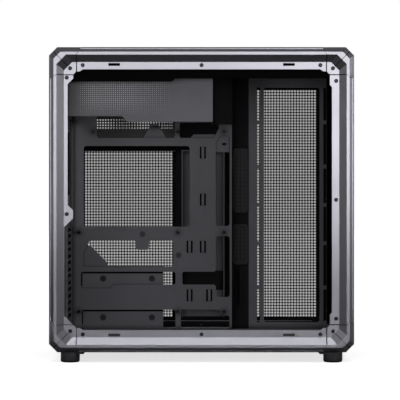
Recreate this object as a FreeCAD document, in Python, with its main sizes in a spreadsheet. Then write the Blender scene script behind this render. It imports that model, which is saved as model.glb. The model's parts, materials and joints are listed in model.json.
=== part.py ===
"""Mid tower computer case with its left side open, in millimetres.

+X is the front of the case, -Y its open left side, +Z up.
The origin is under the middle of the case, on the surface that the feet stand on.
"""
import FreeCAD, Part
import os
from types import SimpleNamespace

import Sketcher

os.makedirs("parts", exist_ok=True)
doc = FreeCAD.newDocument("mid_tower_case")

# Driving dimensions
SIZES = {
    # Lengths that add up to the inside of the case, from rear to front
    "board_gap": 1.3,
    "board_width": 243.84,
    "tray_margin": 6.0,
    "channel_width": 27.0,
    "bracket_width": 128.86,
    # Heights that add up to the inside of the case, from floor to ceiling
    "floor_gap": 11.5,
    "board_height": 304.8,
    "shroud_gap": 3.5,
    "supply_bay_height": 87.2,
    # Depths that add up to the case, from the open side to the right side
    "tray_setback": 188.0,
    "cable_space": 42.8,
    # Sheet metal and fits
    "sheet": 1.2,
    "slack": 0.3,
    "joint_gap": 0.4,
    "cut_overrun": 1.0,
    # Bars of the side frames
    "rail_width": 20.3,
    "rail_depth": 24.0,
    "edge_bevel": 7.2,
    "rim_width": 4.3,
    "bevel_width": 10.3,
    "bevel_depth": 10.0,
    "ledge_width": 10.7,
    "ledge_thickness": 2.0,
    "rear_ledge_width": 5.5,
    "slot_ledge_width": 0.4,
    "groove_width": 1.2,
    "groove_depth": 1.0,
    "groove_offset": 1.8,
    # Corner blocks
    "corner_cut": 12.2,
    "corner_reach": 40.0,
    "corner_skew": 5.5,
    "corner_arm": 45.0,
    "rim_corner_cut": 14.0,
    "ledge_corner_cut": 12.3,
    "ledge_tab": 3.1,
    "ledge_tab_cut": 4.8,
    "ledge_tab_run": 9.4,
    "ledge_tab_slope": 5.0,
    "front_tab_run": 15.2,
    "rear_tab_run": 5.6,
    "side_tab_reach": 8.0,
    "side_tab_height": 11.8,
    "mitre_width": 0.5,
    "mitre_depth": 0.8,
    "mitre_length": 52.0,
    # Ledge screws and slots
    "screw_head_diameter": 5.9,
    "screw_head_height": 1.8,
    "screw_diameter": 3.0,
    "screw_length": 4.6,
    "screw_clearance": 0.2,
    "corner_screw_inset": 31.0,
    "bar_screw_inset": 26.4,
    "bar_screw_reach": 49.6,
    "rear_screw_inset": 26.0,
    "rear_screw_reach": 44.8,
    "ledge_slot_length": 17.3,
    "ledge_slot_width": 4.1,
    "ledge_slot_place": 129.0,
    "ledge_slot_inset": 3.6,
    # Feet
    "foot_height": 15.0,
    "foot_diameter": 28.4,
    "foot_rounding": 2.4,
    "foot_inset_x": 30.8,
    "foot_inset_y": 17.0,
    "foot_plate_thickness": 2.6,
    "foot_plate_reach": 8.0,
    "foot_plate_width": 24.0,
    "foot_plate_chamfer": 2.0,
    # Board fixing
    "standoff_height": 6.35,
    "standoff_across": 5.5,
    "board_thickness": 1.6,
    "board_hole_inset_x": 10.16,
    "board_hole_inset_z": 16.51,
    "board_column": 154.94,
    "board_outer_column": 227.33,
    "board_offset_hole": 22.86,
    "board_row": 124.46,
    "board_upper_row": 157.48,
    # Rear wall
    "slot_pitch": 20.32,
    "slot_count": 7,
    "slot_width": 13.2,
    "slot_length": 92.0,
    "slot_cover_width": 18.4,
    "slot_cover_tail": 10.0,
    "slot_cover_overlap": 2.0,
    "slot_cover_shoulder": 4.0,
    "slot_cover_thickness": 1.0,
    "slot_first_rise": 9.2,
    "slot_tab_rise": 102.3,
    "slot_tab_length": 11.4,
    "slot_access_depth": 16.0,
    "slot_shelf_strip": 3.2,
    "slot_screw_inset": 2.8,
    "port_window_height": 158.75,
    "port_window_width": 44.45,
    "port_window_drop": 2.0,
    "port_window_gap": 1.0,
    "rear_fan_size": 120.0,
    "fan_hole_spacing": 105.0,
    "fan_hole_diameter": 4.4,
    "vent_slot_height": 6.0,
    "vent_slot_pitch": 9.5,
    "vent_margin": 5.3,
    "supply_window_margin": 6.0,
    # Power supply shroud
    "supply_bay_depth": 152.0,
    "shroud_length": 220.2,
    "shroud_step": 8.2,
    "shroud_step_place": 85.0,
    "shroud_return": 106.0,
    "shroud_lip": 9.0,
    "shroud_hole": 2.6,
    "shroud_hole_pitch": 6.4,
    "shroud_hole_columns": 14,
    "shroud_hole_rows": 8,
    "shroud_hole_start_x": 26.0,
    "shroud_hole_start_z": 12.0,
    # Skirt under the ceiling
    "skirt_height": 29.0,
    "skirt_step": 4.6,
    "skirt_step_place": 160.0,
    "skirt_flange": 12.0,
    # Tray cut-outs, measured from the board's rear lower corner
    "window_rounding": 4.0,
    "cooler_window_x": 17.6,
    "cooler_window_z": 149.7,
    "cooler_window_width": 166.0,
    "cooler_window_height": 126.6,
    "upper_window_x": 38.0,
    "upper_window_z": 288.9,
    "upper_window_width": 122.6,
    "upper_window_height": 40.0,
    "supply_window_x": 10.2,
    "upper_front_window_x": 167.8,
    "upper_front_window_width": 61.6,
    "upper_front_window_height": 24.0,
    "upper_front_cut_x": 7.2,
    "upper_front_cut_z": 15.0,
    "side_window_x": 224.8,
    "side_window_z": 151.1,
    "side_window_width": 21.6,
    "side_window_height": 141.9,
    "side_window_cut_x": 7.8,
    "side_window_cut_z": 10.0,
    "card_window_x": 16.6,
    "card_window_z": 87.0,
    "card_window_width": 141.3,
    "card_window_height": 41.0,
    "card_window_cut_x": 10.2,
    "card_window_cut_z": 19.0,
    "card_tab_x": 99.3,
    "card_tab_width": 20.4,
    "card_tab_height": 14.6,
    "drive_window_x": 13.0,
    "drive_window_z": 58.8,
    "drive_window_width": 148.5,
    "drive_window_height": 20.3,
    "drive_step_width": 46.0,
    "drive_step_drop": 5.8,
    "floor_window_x": 14.4,
    "floor_window_width": 147.1,
    "floor_window_height": 31.0,
    "low_side_window_z": 39.5,
    "low_side_window_height": 95.4,
    "link_window_x": 171.4,
    "floor_front_window_x": 169.9,
    "floor_front_window_width": 76.2,
    "floor_front_step_width": 14.0,
    "floor_front_step_drop": 9.0,
    # Cable tie anchors
    "anchor_width": 9.4,
    "anchor_height": 18.9,
    "anchor_slit": 2.6,
    "anchor_rear_x": 183.6,
    "anchor_middle_x": 204.4,
    "anchor_front_x": 214.4,
    "anchor_top_z": 265.9,
    "anchor_upper_z": 192.2,
    "anchor_lower_z": 118.2,
    "anchor_low_z": 42.0,
    # Cable channel and grommets
    "grommet_window_width": 19.6,
    "upper_grommet_z": 185.0,
    "upper_grommet_height": 98.0,
    "lower_grommet_z": 103.1,
    "lower_grommet_height": 60.2,
    "grommet_lip": 1.9,
    "grommet_lip_thickness": 1.6,
    "grommet_slit": 2.0,
    "channel_slot_x": 5.6,
    "channel_slot_width": 7.3,
    "channel_slot_z": 38.5,
    "channel_slot_height": 56.0,
    # Side fan bracket
    "bracket_setback": 20.0,
    "bracket_window_x": 24.0,
    "bracket_window_width": 87.8,
    "bracket_window_z": 10.2,
    "bracket_window_height": 370.3,
    "bracket_slot_width": 5.0,
    "bracket_slot_bridge": 6.0,
    "bracket_inner_bridge": 60.5,
    "bracket_outer_bridge": 130.5,
    # Pieces behind the tray
    "drive_plate_x": 13.2,
    "drive_plate_width": 128.9,
    "drive_plate_height": 47.0,
    "upper_drive_plate_z": 41.0,
    "drive_hole_spacing": 76.6,
    "drive_hole_x": 34.6,
    "upper_drive_hole_z": 27.4,
    "lower_drive_hole_z": 18.8,
    "drive_hole_diameter": 7.4,
    "drive_flange": 14.0,
    "gusset_width": 40.6,
    "gusset_top_width": 15.8,
    "gusset_height": 30.8,
    "gusset_foot": 5.6,
    "cover_x": 171.2,
    "cover_width": 67.0,
    "cover_z": 8.0,
    "cover_height": 262.0,
    "cover_depth": 18.0,
    "cover_tab_low": 3.4,
    "cover_tab_rise": 28.0,
    "cover_tab_inset": 4.0,
    "cover_tab_width": 21.6,
    "cover_tab_arm": 46.0,
    "cover_tab_arm_height": 12.0,
    "cover_tab_hole_width": 6.6,
    "cover_tab_hole_height": 3.6,
    "cover_tab_hole_inset": 4.6,
    "cover_tab_hole_rise": 11.0,
    "beam_x": 12.2,
    "beam_width": 150.0,
    "beam_z": 268.0,
    "beam_height": 34.0,
    "beam_depth": 9.0,
    "screen_height": 22.0,
    "screen_hole": 4.0,
    "screen_hole_pitch": 10.0,
    "screen_columns": 14,
    "screen_rows": 2,
    "rest_width": 36.0,
    "rest_top_width": 15.0,
    "rest_x": 128.6,
    "rest_reach": 46.0,
    # Right side panel
    "panel_vent_margin": 17.0,
    "panel_vent_height": 363.0,
    "panel_rear_vent_width": 143.0,
    "panel_front_vent_width": 112.0,
    "panel_slot_height": 8.0,
    "panel_slot_pitch": 12.1,
    "panel_slot_rib": 6.0,
    # Covers
    "cover_wall": 1.6,
    "cover_setback": 1.5,
    "cover_vent_margin": 20.0,
    "cover_slot_height": 6.0,
    "cover_slot_pitch": 12.0,
    "filter_thickness": 2.2,
    "filter_margin": 14.0,
    # Front connector block
    "block_width": 20.0,
    "block_length": 108.0,
    "block_front_gap": 8.0,
    "button_diameter": 12.0,
    "button_proud": 0.8,
    "button_travel": 1.5,
    "button_collar": 1.2,
    "button_collar_thickness": 1.4,
    "button_lip": 2.0,
    "button_place": 42.0,
    "switch_size": 6.0,
    "switch_height": 4.0,
    "socket_depth": 11.0,
    "socket_wall": 0.5,
    "wide_socket_length": 13.1,
    "wide_socket_width": 5.7,
    "wide_socket_place": 12.0,
    "wide_socket_pitch": 18.0,
    "small_socket_length": 9.2,
    "small_socket_width": 3.4,
    "small_socket_place": -24.0,
    "jack_diameter": 6.4,
    "jack_bore": 3.6,
    "jack_place": -42.0,
    "tongue_thickness": 1.6,
    "tongue_inset": 1.5,
    "tongue_drop": 1.0,
}

size_table = doc.addObject("Spreadsheet::Sheet", "Sizes")
for row, (alias, value) in enumerate(SIZES.items(), start=1):
    size_table.set(f"A{row}", alias)
    size_table.set(f"B{row}", str(value))
    size_table.setAlias(f"B{row}", alias)
doc.recompute()


class Size:
    """A measure worked out from the driving sizes: its number, and the formula that binds it."""

    def __init__(self, number, formula):
        self.number = float(number)
        self.formula = formula

    def joined(self, sign, other, number):
        return Size(number, f"({self.formula} {sign} {other.formula})")

    def __float__(self):
        return self.number

    def __add__(self, other):
        other = as_size(other)
        return self.joined("+", other, self.number + other.number)

    def __radd__(self, other):
        return as_size(other) + self

    def __sub__(self, other):
        other = as_size(other)
        return self.joined("-", other, self.number - other.number)

    def __rsub__(self, other):
        return as_size(other) - self

    def __mul__(self, other):
        other = as_size(other)
        return self.joined("*", other, self.number * other.number)

    def __rmul__(self, other):
        return as_size(other) * self

    def __truediv__(self, other):
        other = as_size(other)
        return self.joined("/", other, self.number / other.number)

    def __neg__(self):
        return as_size(0) - self


def as_size(value):
    """A plain number as a measure of its own."""
    if isinstance(value, Size):
        return value
    return Size(value, repr(float(value)))


s = SimpleNamespace(**{alias: Size(size_table.get(alias), f"Sizes.{alias}") for alias in SIZES})

# Overall sizes and the faces that the pieces share
wall = s.rail_width + s.sheet
frame_length = (2 * wall + s.board_gap + s.board_width + s.tray_margin
                + s.channel_width + s.bracket_width)
frame_height = 2 * wall + s.floor_gap + s.board_height + s.shroud_gap + s.supply_bay_height
frame_depth = s.tray_setback + s.sheet + s.cable_space + s.ledge_thickness + s.bevel_depth
half_length = frame_length / 2
near = -frame_depth / 2
far = frame_depth / 2
bottom = s.foot_height
top = s.foot_height + frame_height
rear_in = -half_length + wall
rear_out = rear_in - s.sheet
front_in = half_length - wall
front_out = front_in + s.sheet
floor_in = bottom + wall
floor_out = floor_in - s.sheet
ceiling_in = top - wall
ceiling_out = ceiling_in + s.sheet
near_in = near + s.bevel_depth + s.ledge_thickness
far_in = far - s.bevel_depth - s.ledge_thickness
tray_face = near + s.tray_setback
tray_back = tray_face + s.sheet
board_x = rear_in + s.board_gap
board_z = floor_in + s.floor_gap
board_face = tray_face - s.standoff_height - s.board_thickness
tray_front = board_x + s.board_width + s.tray_margin
bracket_face = tray_face + s.bracket_setback
bracket_back = bracket_face + s.sheet
bracket_rear = tray_front + s.channel_width
shroud_bottom = ceiling_in - s.supply_bay_height
shroud_face = tray_face - s.supply_bay_depth
shroud_end = rear_in + s.shroud_length
ledge_face = near + s.bevel_depth
bevel_start = s.edge_bevel + s.rim_width
ledge_start = bevel_start + s.bevel_width
ledge_end = ledge_start + s.ledge_width
opening_near = near + s.rail_depth
opening_far = far - s.rail_depth
slot_top = board_z + s.slot_first_rise + s.slot_count * s.slot_pitch

TURN_TO_X = FreeCAD.Rotation(FreeCAD.Vector(0, 1, 0), 90)
TURN_TO_Y = FreeCAD.Rotation(FreeCAD.Vector(1, 0, 0), -90)
UPRIGHT = FreeCAD.Rotation()
sub_parts = []


# Small helpers that bind shapes to the driving sizes
def point(across, deep, up):
    return FreeCAD.Vector(float(across), float(deep), float(up))


def bind(thing, **values):
    for name, value in values.items():
        thing.setExpression(name, as_size(value).formula)


def place(thing, x, y, z, turn=UPRIGHT):
    thing.Placement = FreeCAD.Placement(point(x, y, z), turn)
    for axis, value in zip("xyz", (x, y, z)):
        thing.setExpression(f"Placement.Base.{axis}", as_size(value).formula)


def keep(thing, label):
    """Name a finished sub-part and list it for writing."""
    thing.Label = label
    sub_parts.append(thing)
    return thing


def box(name, low, high):
    thing = doc.addObject("Part::Box", name)
    bind(thing, Length=high[0] - low[0], Width=high[1] - low[1], Height=high[2] - low[2])
    place(thing, *low)
    return thing


def cylinder(name, start, radius, length, turn=UPRIGHT):
    thing = doc.addObject("Part::Cylinder", name)
    bind(thing, Radius=radius, Height=length)
    place(thing, *start, turn)
    return thing


def drilled(name, start, radius, length, axis):
    """A round cutting tool along one axis that runs past both faces of what it cuts."""
    turn = {"x": TURN_TO_X, "y": TURN_TO_Y, "z": UPRIGHT}[axis]
    low = [value - s.cut_overrun if letter == axis else value for letter, value in zip("xyz", start)]
    return cylinder(name, low, radius, length + 2 * s.cut_overrun, turn)


def fuse(name, pieces):
    thing = doc.addObject("Part::MultiFuse", name)
    thing.Shapes = pieces
    return thing


def group(name, pieces):
    thing = doc.addObject("Part::Compound", name)
    thing.Links = pieces
    return thing


def cut(name, base, tools):
    thing = doc.addObject("Part::Cut", name)
    thing.Base = base
    thing.Tool = tools[0] if len(tools) == 1 else group(f"{name}_tools", tools)
    return thing


def mirrored(name, source):
    """The same piece on the other side of the case."""
    thing = doc.addObject("Part::Mirroring", name)
    thing.Source = source
    thing.Base = FreeCAD.Vector(0, 0, 0)
    thing.Normal = FreeCAD.Vector(0, 1, 0)
    return thing


def solid_feature(name, shape):
    """A piece whose form comes straight from its faces."""
    thing = doc.addObject("Part::Feature", name)
    thing.Shape = shape
    thing.Placement = FreeCAD.Placement()
    return thing


def rectangle(x_low, x_high, y_low, y_high):
    return [(x_low, y_low), (x_high, y_low), (x_high, y_high), (x_low, y_high)]


def draw(body, name, role, loops):
    """A sketch of closed outlines, every corner held by the driving sizes."""
    sketch = body.newObject("Sketcher::SketchObject", name)
    plane = [feature for feature in body.Origin.OriginFeatures if feature.Role == role][0]
    sketch.AttachmentSupport = [(plane, "")]
    sketch.MapMode = "FlatFace"
    for loop in loops:
        first = sketch.GeometryCount
        count = len(loop)
        lines = []
        for index, start in enumerate(loop):
            end = loop[(index + 1) % count]
            lines.append(Part.LineSegment(point(start[0], start[1], 0), point(end[0], end[1], 0)))
        sketch.addGeometry(lines, False)
        rules = []
        for index in range(count):
            after = first + (index + 1) % count
            rules.append(Sketcher.Constraint("Coincident", first + index, 2, after, 1))
        sketch.addConstraint(rules)
        for index, corner in enumerate(loop):
            for kind, value in zip(("DistanceX", "DistanceY"), corner):
                rule = Sketcher.Constraint(kind, -1, 1, first + index, 1, float(value))
                number = sketch.addConstraint(rule)
                sketch.setExpression(f"Constraints[{number}]", as_size(value).formula)
    return sketch


def pad(body, name, role, loops, length, reverse=False):
    feature = body.newObject("PartDesign::Pad", name)
    feature.Profile = draw(body, f"{name}_outline", role, loops)
    feature.Reversed = reverse
    bind(feature, Length=length)
    return feature


def pocket(body, name, role, loops):
    """Cut outlines right through a body, on both sides of their plane."""
    feature = body.newObject("PartDesign::Pocket", name)
    feature.Profile = draw(body, f"{name}_outline", role, loops)
    feature.Type = "ThroughAll"
    feature.SideType = "Symmetric"
    return feature


def repeat(body, name, feature, axis, pitch, count):
    """Copies of a cut along one axis of its sketch."""
    pattern = body.newObject("PartDesign::LinearPattern", name)
    pattern.Originals = [feature]
    pattern.Direction = (feature.Profile[0], [axis])
    pattern.Occurrences = int(round(float(count)))
    bind(pattern, Length=pitch * (as_size(count) - 1))
    body.Tip = pattern
    return pattern


def round_corners(body, name, radius, along, keep_edge):
    """Round the short edges that run along one axis and that keep_edge picks."""
    doc.recompute()
    base = body.Tip
    names = []
    for number, edge in enumerate(base.Shape.Edges, start=1):
        run = edge.Vertexes[-1].Point - edge.Vertexes[0].Point
        straight = edge.Curve.TypeId == "Part::GeomLine"
        if straight and abs(abs(run.dot(along)) - run.Length) < 1e-6 and keep_edge(edge.CenterOfMass):
            names.append(f"Edge{number}")
    feature = body.newObject("PartDesign::Fillet", name)
    feature.Base = (base, names)
    bind(feature, Radius=radius)
    return feature


def count_that_fits(span, pitch):
    """How many copies a pitch apart fit in a span."""
    return int(float(span) / float(pitch) + 1e-6)


# Side frame: an outline at each depth, joined by flat facets
def octagon(inset, cut_size, depth):
    """The frame's outline, drawn in from its outer faces, with its corners cut."""
    left, right = float(inset - half_length), float(half_length - inset)
    low, high = float(bottom + inset), float(top - inset)
    size, deep = float(cut_size), float(near + depth)
    corners = [
        (left + size, low), (right - size, low), (right, low + size), (right, high - size),
        (right - size, high), (left + size, high), (left, high - size), (left, low + size),
    ]
    return Part.makePolygon([point(x, deep, z) for x, z in corners + corners[:1]])


def prism(corners, depth_from, depth_to):
    """A straight block over an outline of corners, between two depths."""
    loop = [point(x, near + depth_from, z) for x, z in corners]
    face = Part.Face(Part.makePolygon(loop + loop[:1]))
    return face.extrude(point(0, as_size(depth_to) - depth_from, 0))


def corner_point(side, level, along, down):
    """A point measured from an outer corner: side is -1 rear or 1 front, level -1 low or 1 high."""
    x = side * (half_length - along)
    z = top - down if level > 0 else bottom + down
    return (x, z)


def ledge_corner(side, level, post_end, post_run):
    """The ledge's inner edge round one corner, from the bar to the post."""
    tab = ledge_end + s.ledge_tab
    turn = tab + s.ledge_tab_cut
    bar_end = turn + s.ledge_tab_run - s.ledge_tab_cut
    run_end = turn + post_run
    steps = [
        (bar_end + s.ledge_tab_slope, ledge_end),
        (bar_end, tab),
        (turn, tab),
        (tab, turn),
        (tab, run_end),
        (post_end, run_end + tab - post_end),
    ]
    if float(post_run) == 0:
        steps.pop(4)
    return [corner_point(side, level, along, down) for along, down in steps]


def ledge_opening():
    """The inner edge of the ledge, all the way round."""
    rear_end = ledge_start + s.rear_ledge_width
    slot_end = ledge_start + s.slot_ledge_width
    tab_end = ledge_start + s.rear_ledge_width + s.side_tab_reach
    tab_low = slot_top + tab_end - slot_end
    tab_high = tab_low + s.side_tab_height
    rear_tab = [
        (rear_end - half_length, tab_high + s.side_tab_reach),
        (tab_end - half_length, tab_high),
        (tab_end - half_length, tab_low),
        (slot_end - half_length, slot_top),
    ]
    outline = ledge_corner(-1, 1, rear_end, s.rear_tab_run)
    outline += rear_tab
    outline += ledge_corner(-1, -1, slot_end, 0)[::-1]
    outline += ledge_corner(1, -1, ledge_end, s.front_tab_run)
    outline += ledge_corner(1, 1, ledge_end, s.front_tab_run)[::-1]
    return outline


def screw_places():
    """Where the ledge's screws stand, as X and Z."""
    middle = (bottom + top) / 2
    places = []
    for side in (-1, 1):
        for level in (-1, 1):
            places.append(corner_point(side, level, s.corner_screw_inset, s.corner_screw_inset))
            places.append(corner_point(side, level, s.bar_screw_reach, s.bar_screw_inset))
    for level in (-1, 1):
        places.append(corner_point(1, level, s.bar_screw_inset, s.bar_screw_reach))
        places.append((as_size(0), top - s.bar_screw_inset if level > 0 else bottom + s.bar_screw_inset))
    places.append((half_length - s.bar_screw_inset, middle))
    places.append(corner_point(-1, 1, s.rear_screw_inset, s.rear_screw_reach))
    tab_middle = slot_top + s.rear_ledge_width + s.side_tab_reach + s.side_tab_height / 2
    places.append((s.rear_screw_inset - half_length, tab_middle))
    return places


def side_frame():
    """The whole near frame before it is parted into bars and corner blocks."""
    front_cut = 2 * (s.corner_cut - s.edge_bevel)
    outside = Part.makeLoft([
        octagon(s.edge_bevel, front_cut, 0),
        octagon(as_size(0), s.corner_cut, s.edge_bevel),
        octagon(as_size(0), s.corner_cut, s.rail_depth),
    ], True, True)
    funnel = Part.makeLoft([
        octagon(bevel_start, s.rim_corner_cut, 0),
        octagon(ledge_start, s.ledge_corner_cut, s.bevel_depth),
    ], True, True)
    ledge_back = s.bevel_depth + s.ledge_thickness
    inside = rectangle(rear_out, front_out, floor_out, ceiling_out)
    ring = outside.cut(funnel)
    ring = ring.cut(prism(ledge_opening(), s.bevel_depth, ledge_back))
    ring = ring.cut(prism(inside, ledge_back, s.rail_depth))
    for x, z in screw_places():
        hole_radius = float(s.screw_diameter / 2 + s.screw_clearance)
        ring = ring.cut(Part.makeCylinder(hole_radius, float(ledge_back), point(x, near, z), point(0, 1, 0)))
    slot_line = ledge_start + s.ledge_slot_inset
    for side in (-1, 1):
        for level in (-1, 1):
            x = side * s.ledge_slot_place
            z = top - slot_line if level > 0 else bottom + slot_line
            corners = rectangle(x - s.ledge_slot_length / 2, x + s.ledge_slot_length / 2,
                                z - s.ledge_slot_width / 2, z + s.ledge_slot_width / 2)
            ring = ring.cut(prism(corners, 0, ledge_back))
    return ring


def corner_zone(side, level, gap):
    """The block of space that one corner block takes, grown by a gap."""
    reach = s.corner_reach + gap
    skew = reach + s.corner_skew
    step = bevel_start - s.corner_skew
    steps = [(0, 0), (skew, 0), (skew, step), (reach, bevel_start), (reach, reach),
             (bevel_start, reach), (step, skew), (0, skew)]
    corners = [corner_point(side, level, as_size(along), as_size(down)) for along, down in steps]
    return prism(corners, -s.cut_overrun, s.rail_depth + s.cut_overrun)


def cross_section(side, level):
    """The outline of a cross bar at one corner, with its outer edge cut."""
    steps = [(s.corner_cut, 0), (s.rail_width, 0), (s.rail_width, s.rail_width),
             (0, s.rail_width), (0, s.corner_cut)]
    return [corner_point(side, level, as_size(along), as_size(down)) for along, down in steps]


def mitre_line(side, level):
    """The fine line where a corner block's two faces meet."""
    blade = Part.makeBox(float(s.mitre_length), float(s.mitre_depth), float(s.mitre_width))
    blade.translate(point(0, 0, -s.mitre_width / 2))
    turn = {(-1, 1): -45, (1, 1): -135, (-1, -1): 45, (1, -1): 135}[(side, level)]
    blade.rotate(point(0, 0, 0), FreeCAD.Vector(0, -1, 0), turn)
    x, z = corner_point(side, level, s.edge_bevel, s.edge_bevel)
    blade.translate(point(x, near, z))
    return blade


SIDES = {-1: "rear", 1: "front"}
LEVELS = {1: "top", -1: "bottom"}


def build_side_frames():
    ring = side_frame()
    parted = ring
    blocks = {}
    for side, side_name in SIDES.items():
        for level, level_name in LEVELS.items():
            parted = parted.cut(corner_zone(side, level, s.joint_gap))
            block = ring.common(corner_zone(side, level, as_size(0)))
            arm = prism(cross_section(side, level), s.rail_depth, s.corner_arm)
            block = block.fuse(arm).removeSplitter().cut(mitre_line(side, level))
            blocks[f"{level_name}_{side_name}_corner"] = block.Solids[0]
    for name, block in blocks.items():
        keep(solid_feature(f"left_{name}", block), f"left_{name}")
    for bar in parted.Solids:
        middle = bar.CenterOfMass
        if abs(middle.x) > abs(middle.z - float(bottom + top) / 2):
            name = "front_post" if middle.x > 0 else "rear_post"
        else:
            name = "top_rail" if middle.z > float(bottom + top) / 2 else "bottom_rail"
        keep(solid_feature(f"left_{name}", grooved(bar, name)), f"left_{name}")
    for piece in list(sub_parts):
        label = piece.Label.replace("left_", "right_")
        keep(mirrored(label, piece), label)


def grooved(bar, name):
    """A bar with a fine groove along its outer bevel."""
    size = bar.BoundBox
    start = float(s.groove_offset)
    width = float(s.groove_width)
    deep = float(s.edge_bevel - s.groove_offset + s.groove_depth)
    if name == "top_rail":
        tool = Part.makeBox(size.XLength, deep, width, point(size.XMin, near, size.ZMax - start - width))
    elif name == "bottom_rail":
        tool = Part.makeBox(size.XLength, deep, width, point(size.XMin, near, size.ZMin + start))
    elif name == "rear_post":
        tool = Part.makeBox(width, deep, size.ZLength, point(size.XMin + start, near, size.ZMin))
    else:
        tool = Part.makeBox(width, deep, size.ZLength, point(size.XMax - start - width, near, size.ZMin))
    return bar.cut(tool).Solids[0]


def build_cross_rails():
    length = frame_depth - 2 * (s.corner_arm + s.joint_gap)
    for side, side_name in SIDES.items():
        for level, level_name in LEVELS.items():
            label = f"{level_name}_{side_name}_cross_rail"
            body = doc.addObject("PartDesign::Body", label)
            pad(body, f"{label}_bar", "XZ_Plane", [cross_section(side, level)], length)
            place(body, 0, length / 2, 0)
            keep(body, label)


def screw(name, x, face, z, outward):
    """A round-headed screw along Y: its head stands outward from a face."""
    head_start = face - s.screw_head_height if outward < 0 else face
    shank_start = face if outward < 0 else face - s.screw_length
    head = cylinder(f"{name}_head", (x, head_start, z), s.screw_head_diameter / 2,
                    s.screw_head_height, TURN_TO_Y)
    shank = cylinder(f"{name}_shank", (x, shank_start, z), s.screw_diameter / 2,
                     s.screw_length, TURN_TO_Y)
    return fuse(name, [head, shank])


def build_ledge_screws():
    panel_face = far - s.bevel_depth + s.sheet
    for label, face, outward in (("left_ledge_screws", ledge_face, -1), ("panel_screws", panel_face, 1)):
        screws = []
        for number, (x, z) in enumerate(screw_places(), start=1):
            screws.append(screw(f"{label}_{number}", x, face, z, outward))
        keep(group(label, screws), label)


def build_feet():
    plates = []
    radius = s.foot_diameter / 2
    for side, side_name in SIDES.items():
        for row, row_name in ((-1, "left"), (1, "right")):
            x = side * (half_length - s.foot_inset_x)
            y = row * (far - s.foot_inset_y)
            label = f"{row_name}_{side_name}_foot"
            body = doc.addObject("PartDesign::Body", label)
            profile = [(as_size(0), as_size(0)), (radius - s.foot_rounding, as_size(0)),
                       (radius, s.foot_rounding), (radius, s.foot_height), (as_size(0), s.foot_height)]
            turned = body.newObject("PartDesign::Revolution", f"{label}_turned")
            turned.Profile = draw(body, f"{label}_profile", "XZ_Plane", [profile])
            turned.ReferenceAxis = (turned.Profile[0], ["V_Axis"])
            turned.Angle = 360
            place(body, x, y, 0)
            keep(body, label)
            plates.append(foot_plate(f"{label}_plate", side, x, y))
    keep(group("foot_plates", plates), "foot_plates")


def foot_plate(name, side, x, y):
    """The thin plate beside a foot, hollowed to fit it, with a bevelled inner end."""
    radius = s.foot_diameter / 2
    inner = x - side * (radius + s.foot_plate_reach)
    outer = x - side * (radius - s.foot_plate_reach)
    low = bottom - s.foot_plate_thickness
    body = doc.addObject("PartDesign::Body", name)
    outline = [(inner, bottom), (inner + side * s.foot_plate_chamfer, low), (outer, low), (outer, bottom)]
    pad(body, f"{name}_sheet", "XZ_Plane", [outline], s.foot_plate_width)
    place(body, 0, y + s.foot_plate_width / 2, 0)
    hole = drilled(f"{name}_hole", (x, y, low), radius + s.slack, s.foot_plate_thickness, "z")
    return cut(f"{name}_pierced", body, [hole])


# Sheet metal box
def build_rear_panel():
    body = doc.addObject("PartDesign::Body", "rear_panel_body")
    outline = rectangle(near_in, far_in, floor_out, ceiling_out)
    pad(body, "rear_sheet", "YZ_Plane", [outline], s.sheet)
    tab_face = board_face - s.slot_tab_rise
    shelf_low = tab_face + s.slot_shelf_strip
    slot_z = board_z + s.slot_first_rise + (s.slot_pitch - s.slot_width) / 2
    slots = pocket(body, "rear_slots", "YZ_Plane",
                   [rectangle(shelf_low, shelf_low + s.slot_length, slot_z, slot_z + s.slot_width)])
    repeat(body, "rear_slot_row", slots, "V_Axis", s.slot_pitch, s.slot_count)
    port_z = slot_top + s.port_window_gap
    port_y = board_face + s.port_window_drop
    slot_low = board_z + s.slot_first_rise
    supply_low = shroud_bottom + s.supply_window_margin
    windows = [
        rectangle(tab_face - s.slot_access_depth, tab_face, slot_low, slot_top),
        rectangle(port_y - s.port_window_width, port_y, port_z, port_z + s.port_window_height),
        rectangle(shroud_face + s.supply_window_margin, tray_face - s.supply_window_margin,
                  supply_low, ceiling_in - s.supply_window_margin),
    ]
    pocket(body, "rear_windows", "YZ_Plane", windows)
    fan_y, fan_z = rear_fan_middle()
    half_fan = (s.fan_hole_spacing - s.fan_hole_diameter) / 2 - s.vent_margin
    vent = pocket(body, "rear_vent", "YZ_Plane", [
        rectangle(fan_y - half_fan, fan_y - s.vent_slot_height / 2, fan_z - half_fan,
                  fan_z - half_fan + s.vent_slot_height),
        rectangle(fan_y + s.vent_slot_height / 2, fan_y + half_fan, fan_z - half_fan,
                  fan_z - half_fan + s.vent_slot_height),
    ])
    repeat(body, "rear_vent_rows", vent, "V_Axis", s.vent_slot_pitch,
           count_that_fits(2 * half_fan, s.vent_slot_pitch))
    place(body, rear_out, 0, 0)
    shelf = box("slot_shelf", (rear_out - s.slot_tab_length, tab_face, slot_low),
                (rear_out, tab_face + s.sheet, slot_top))
    holes = []
    for number in range(4):
        y = fan_y + (s.fan_hole_spacing / 2 if number % 2 else -s.fan_hole_spacing / 2)
        z = fan_z + (s.fan_hole_spacing / 2 if number // 2 else -s.fan_hole_spacing / 2)
        holes.append(drilled(f"rear_fan_hole_{number + 1}", (rear_out, y, z),
                             s.fan_hole_diameter / 2, s.sheet, "x"))
    for number in range(int(float(s.slot_count))):
        z = slot_middle(number) + slot_screw_rise()
        holes.append(drilled(f"slot_screw_hole_{number + 1}", (slot_screw_x(), tab_face, z),
                             s.screw_diameter / 2 + s.screw_clearance, s.sheet, "y"))
    keep(cut("rear_panel", fuse("rear_panel_folded", [body, shelf]), holes), "rear_panel")


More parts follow.
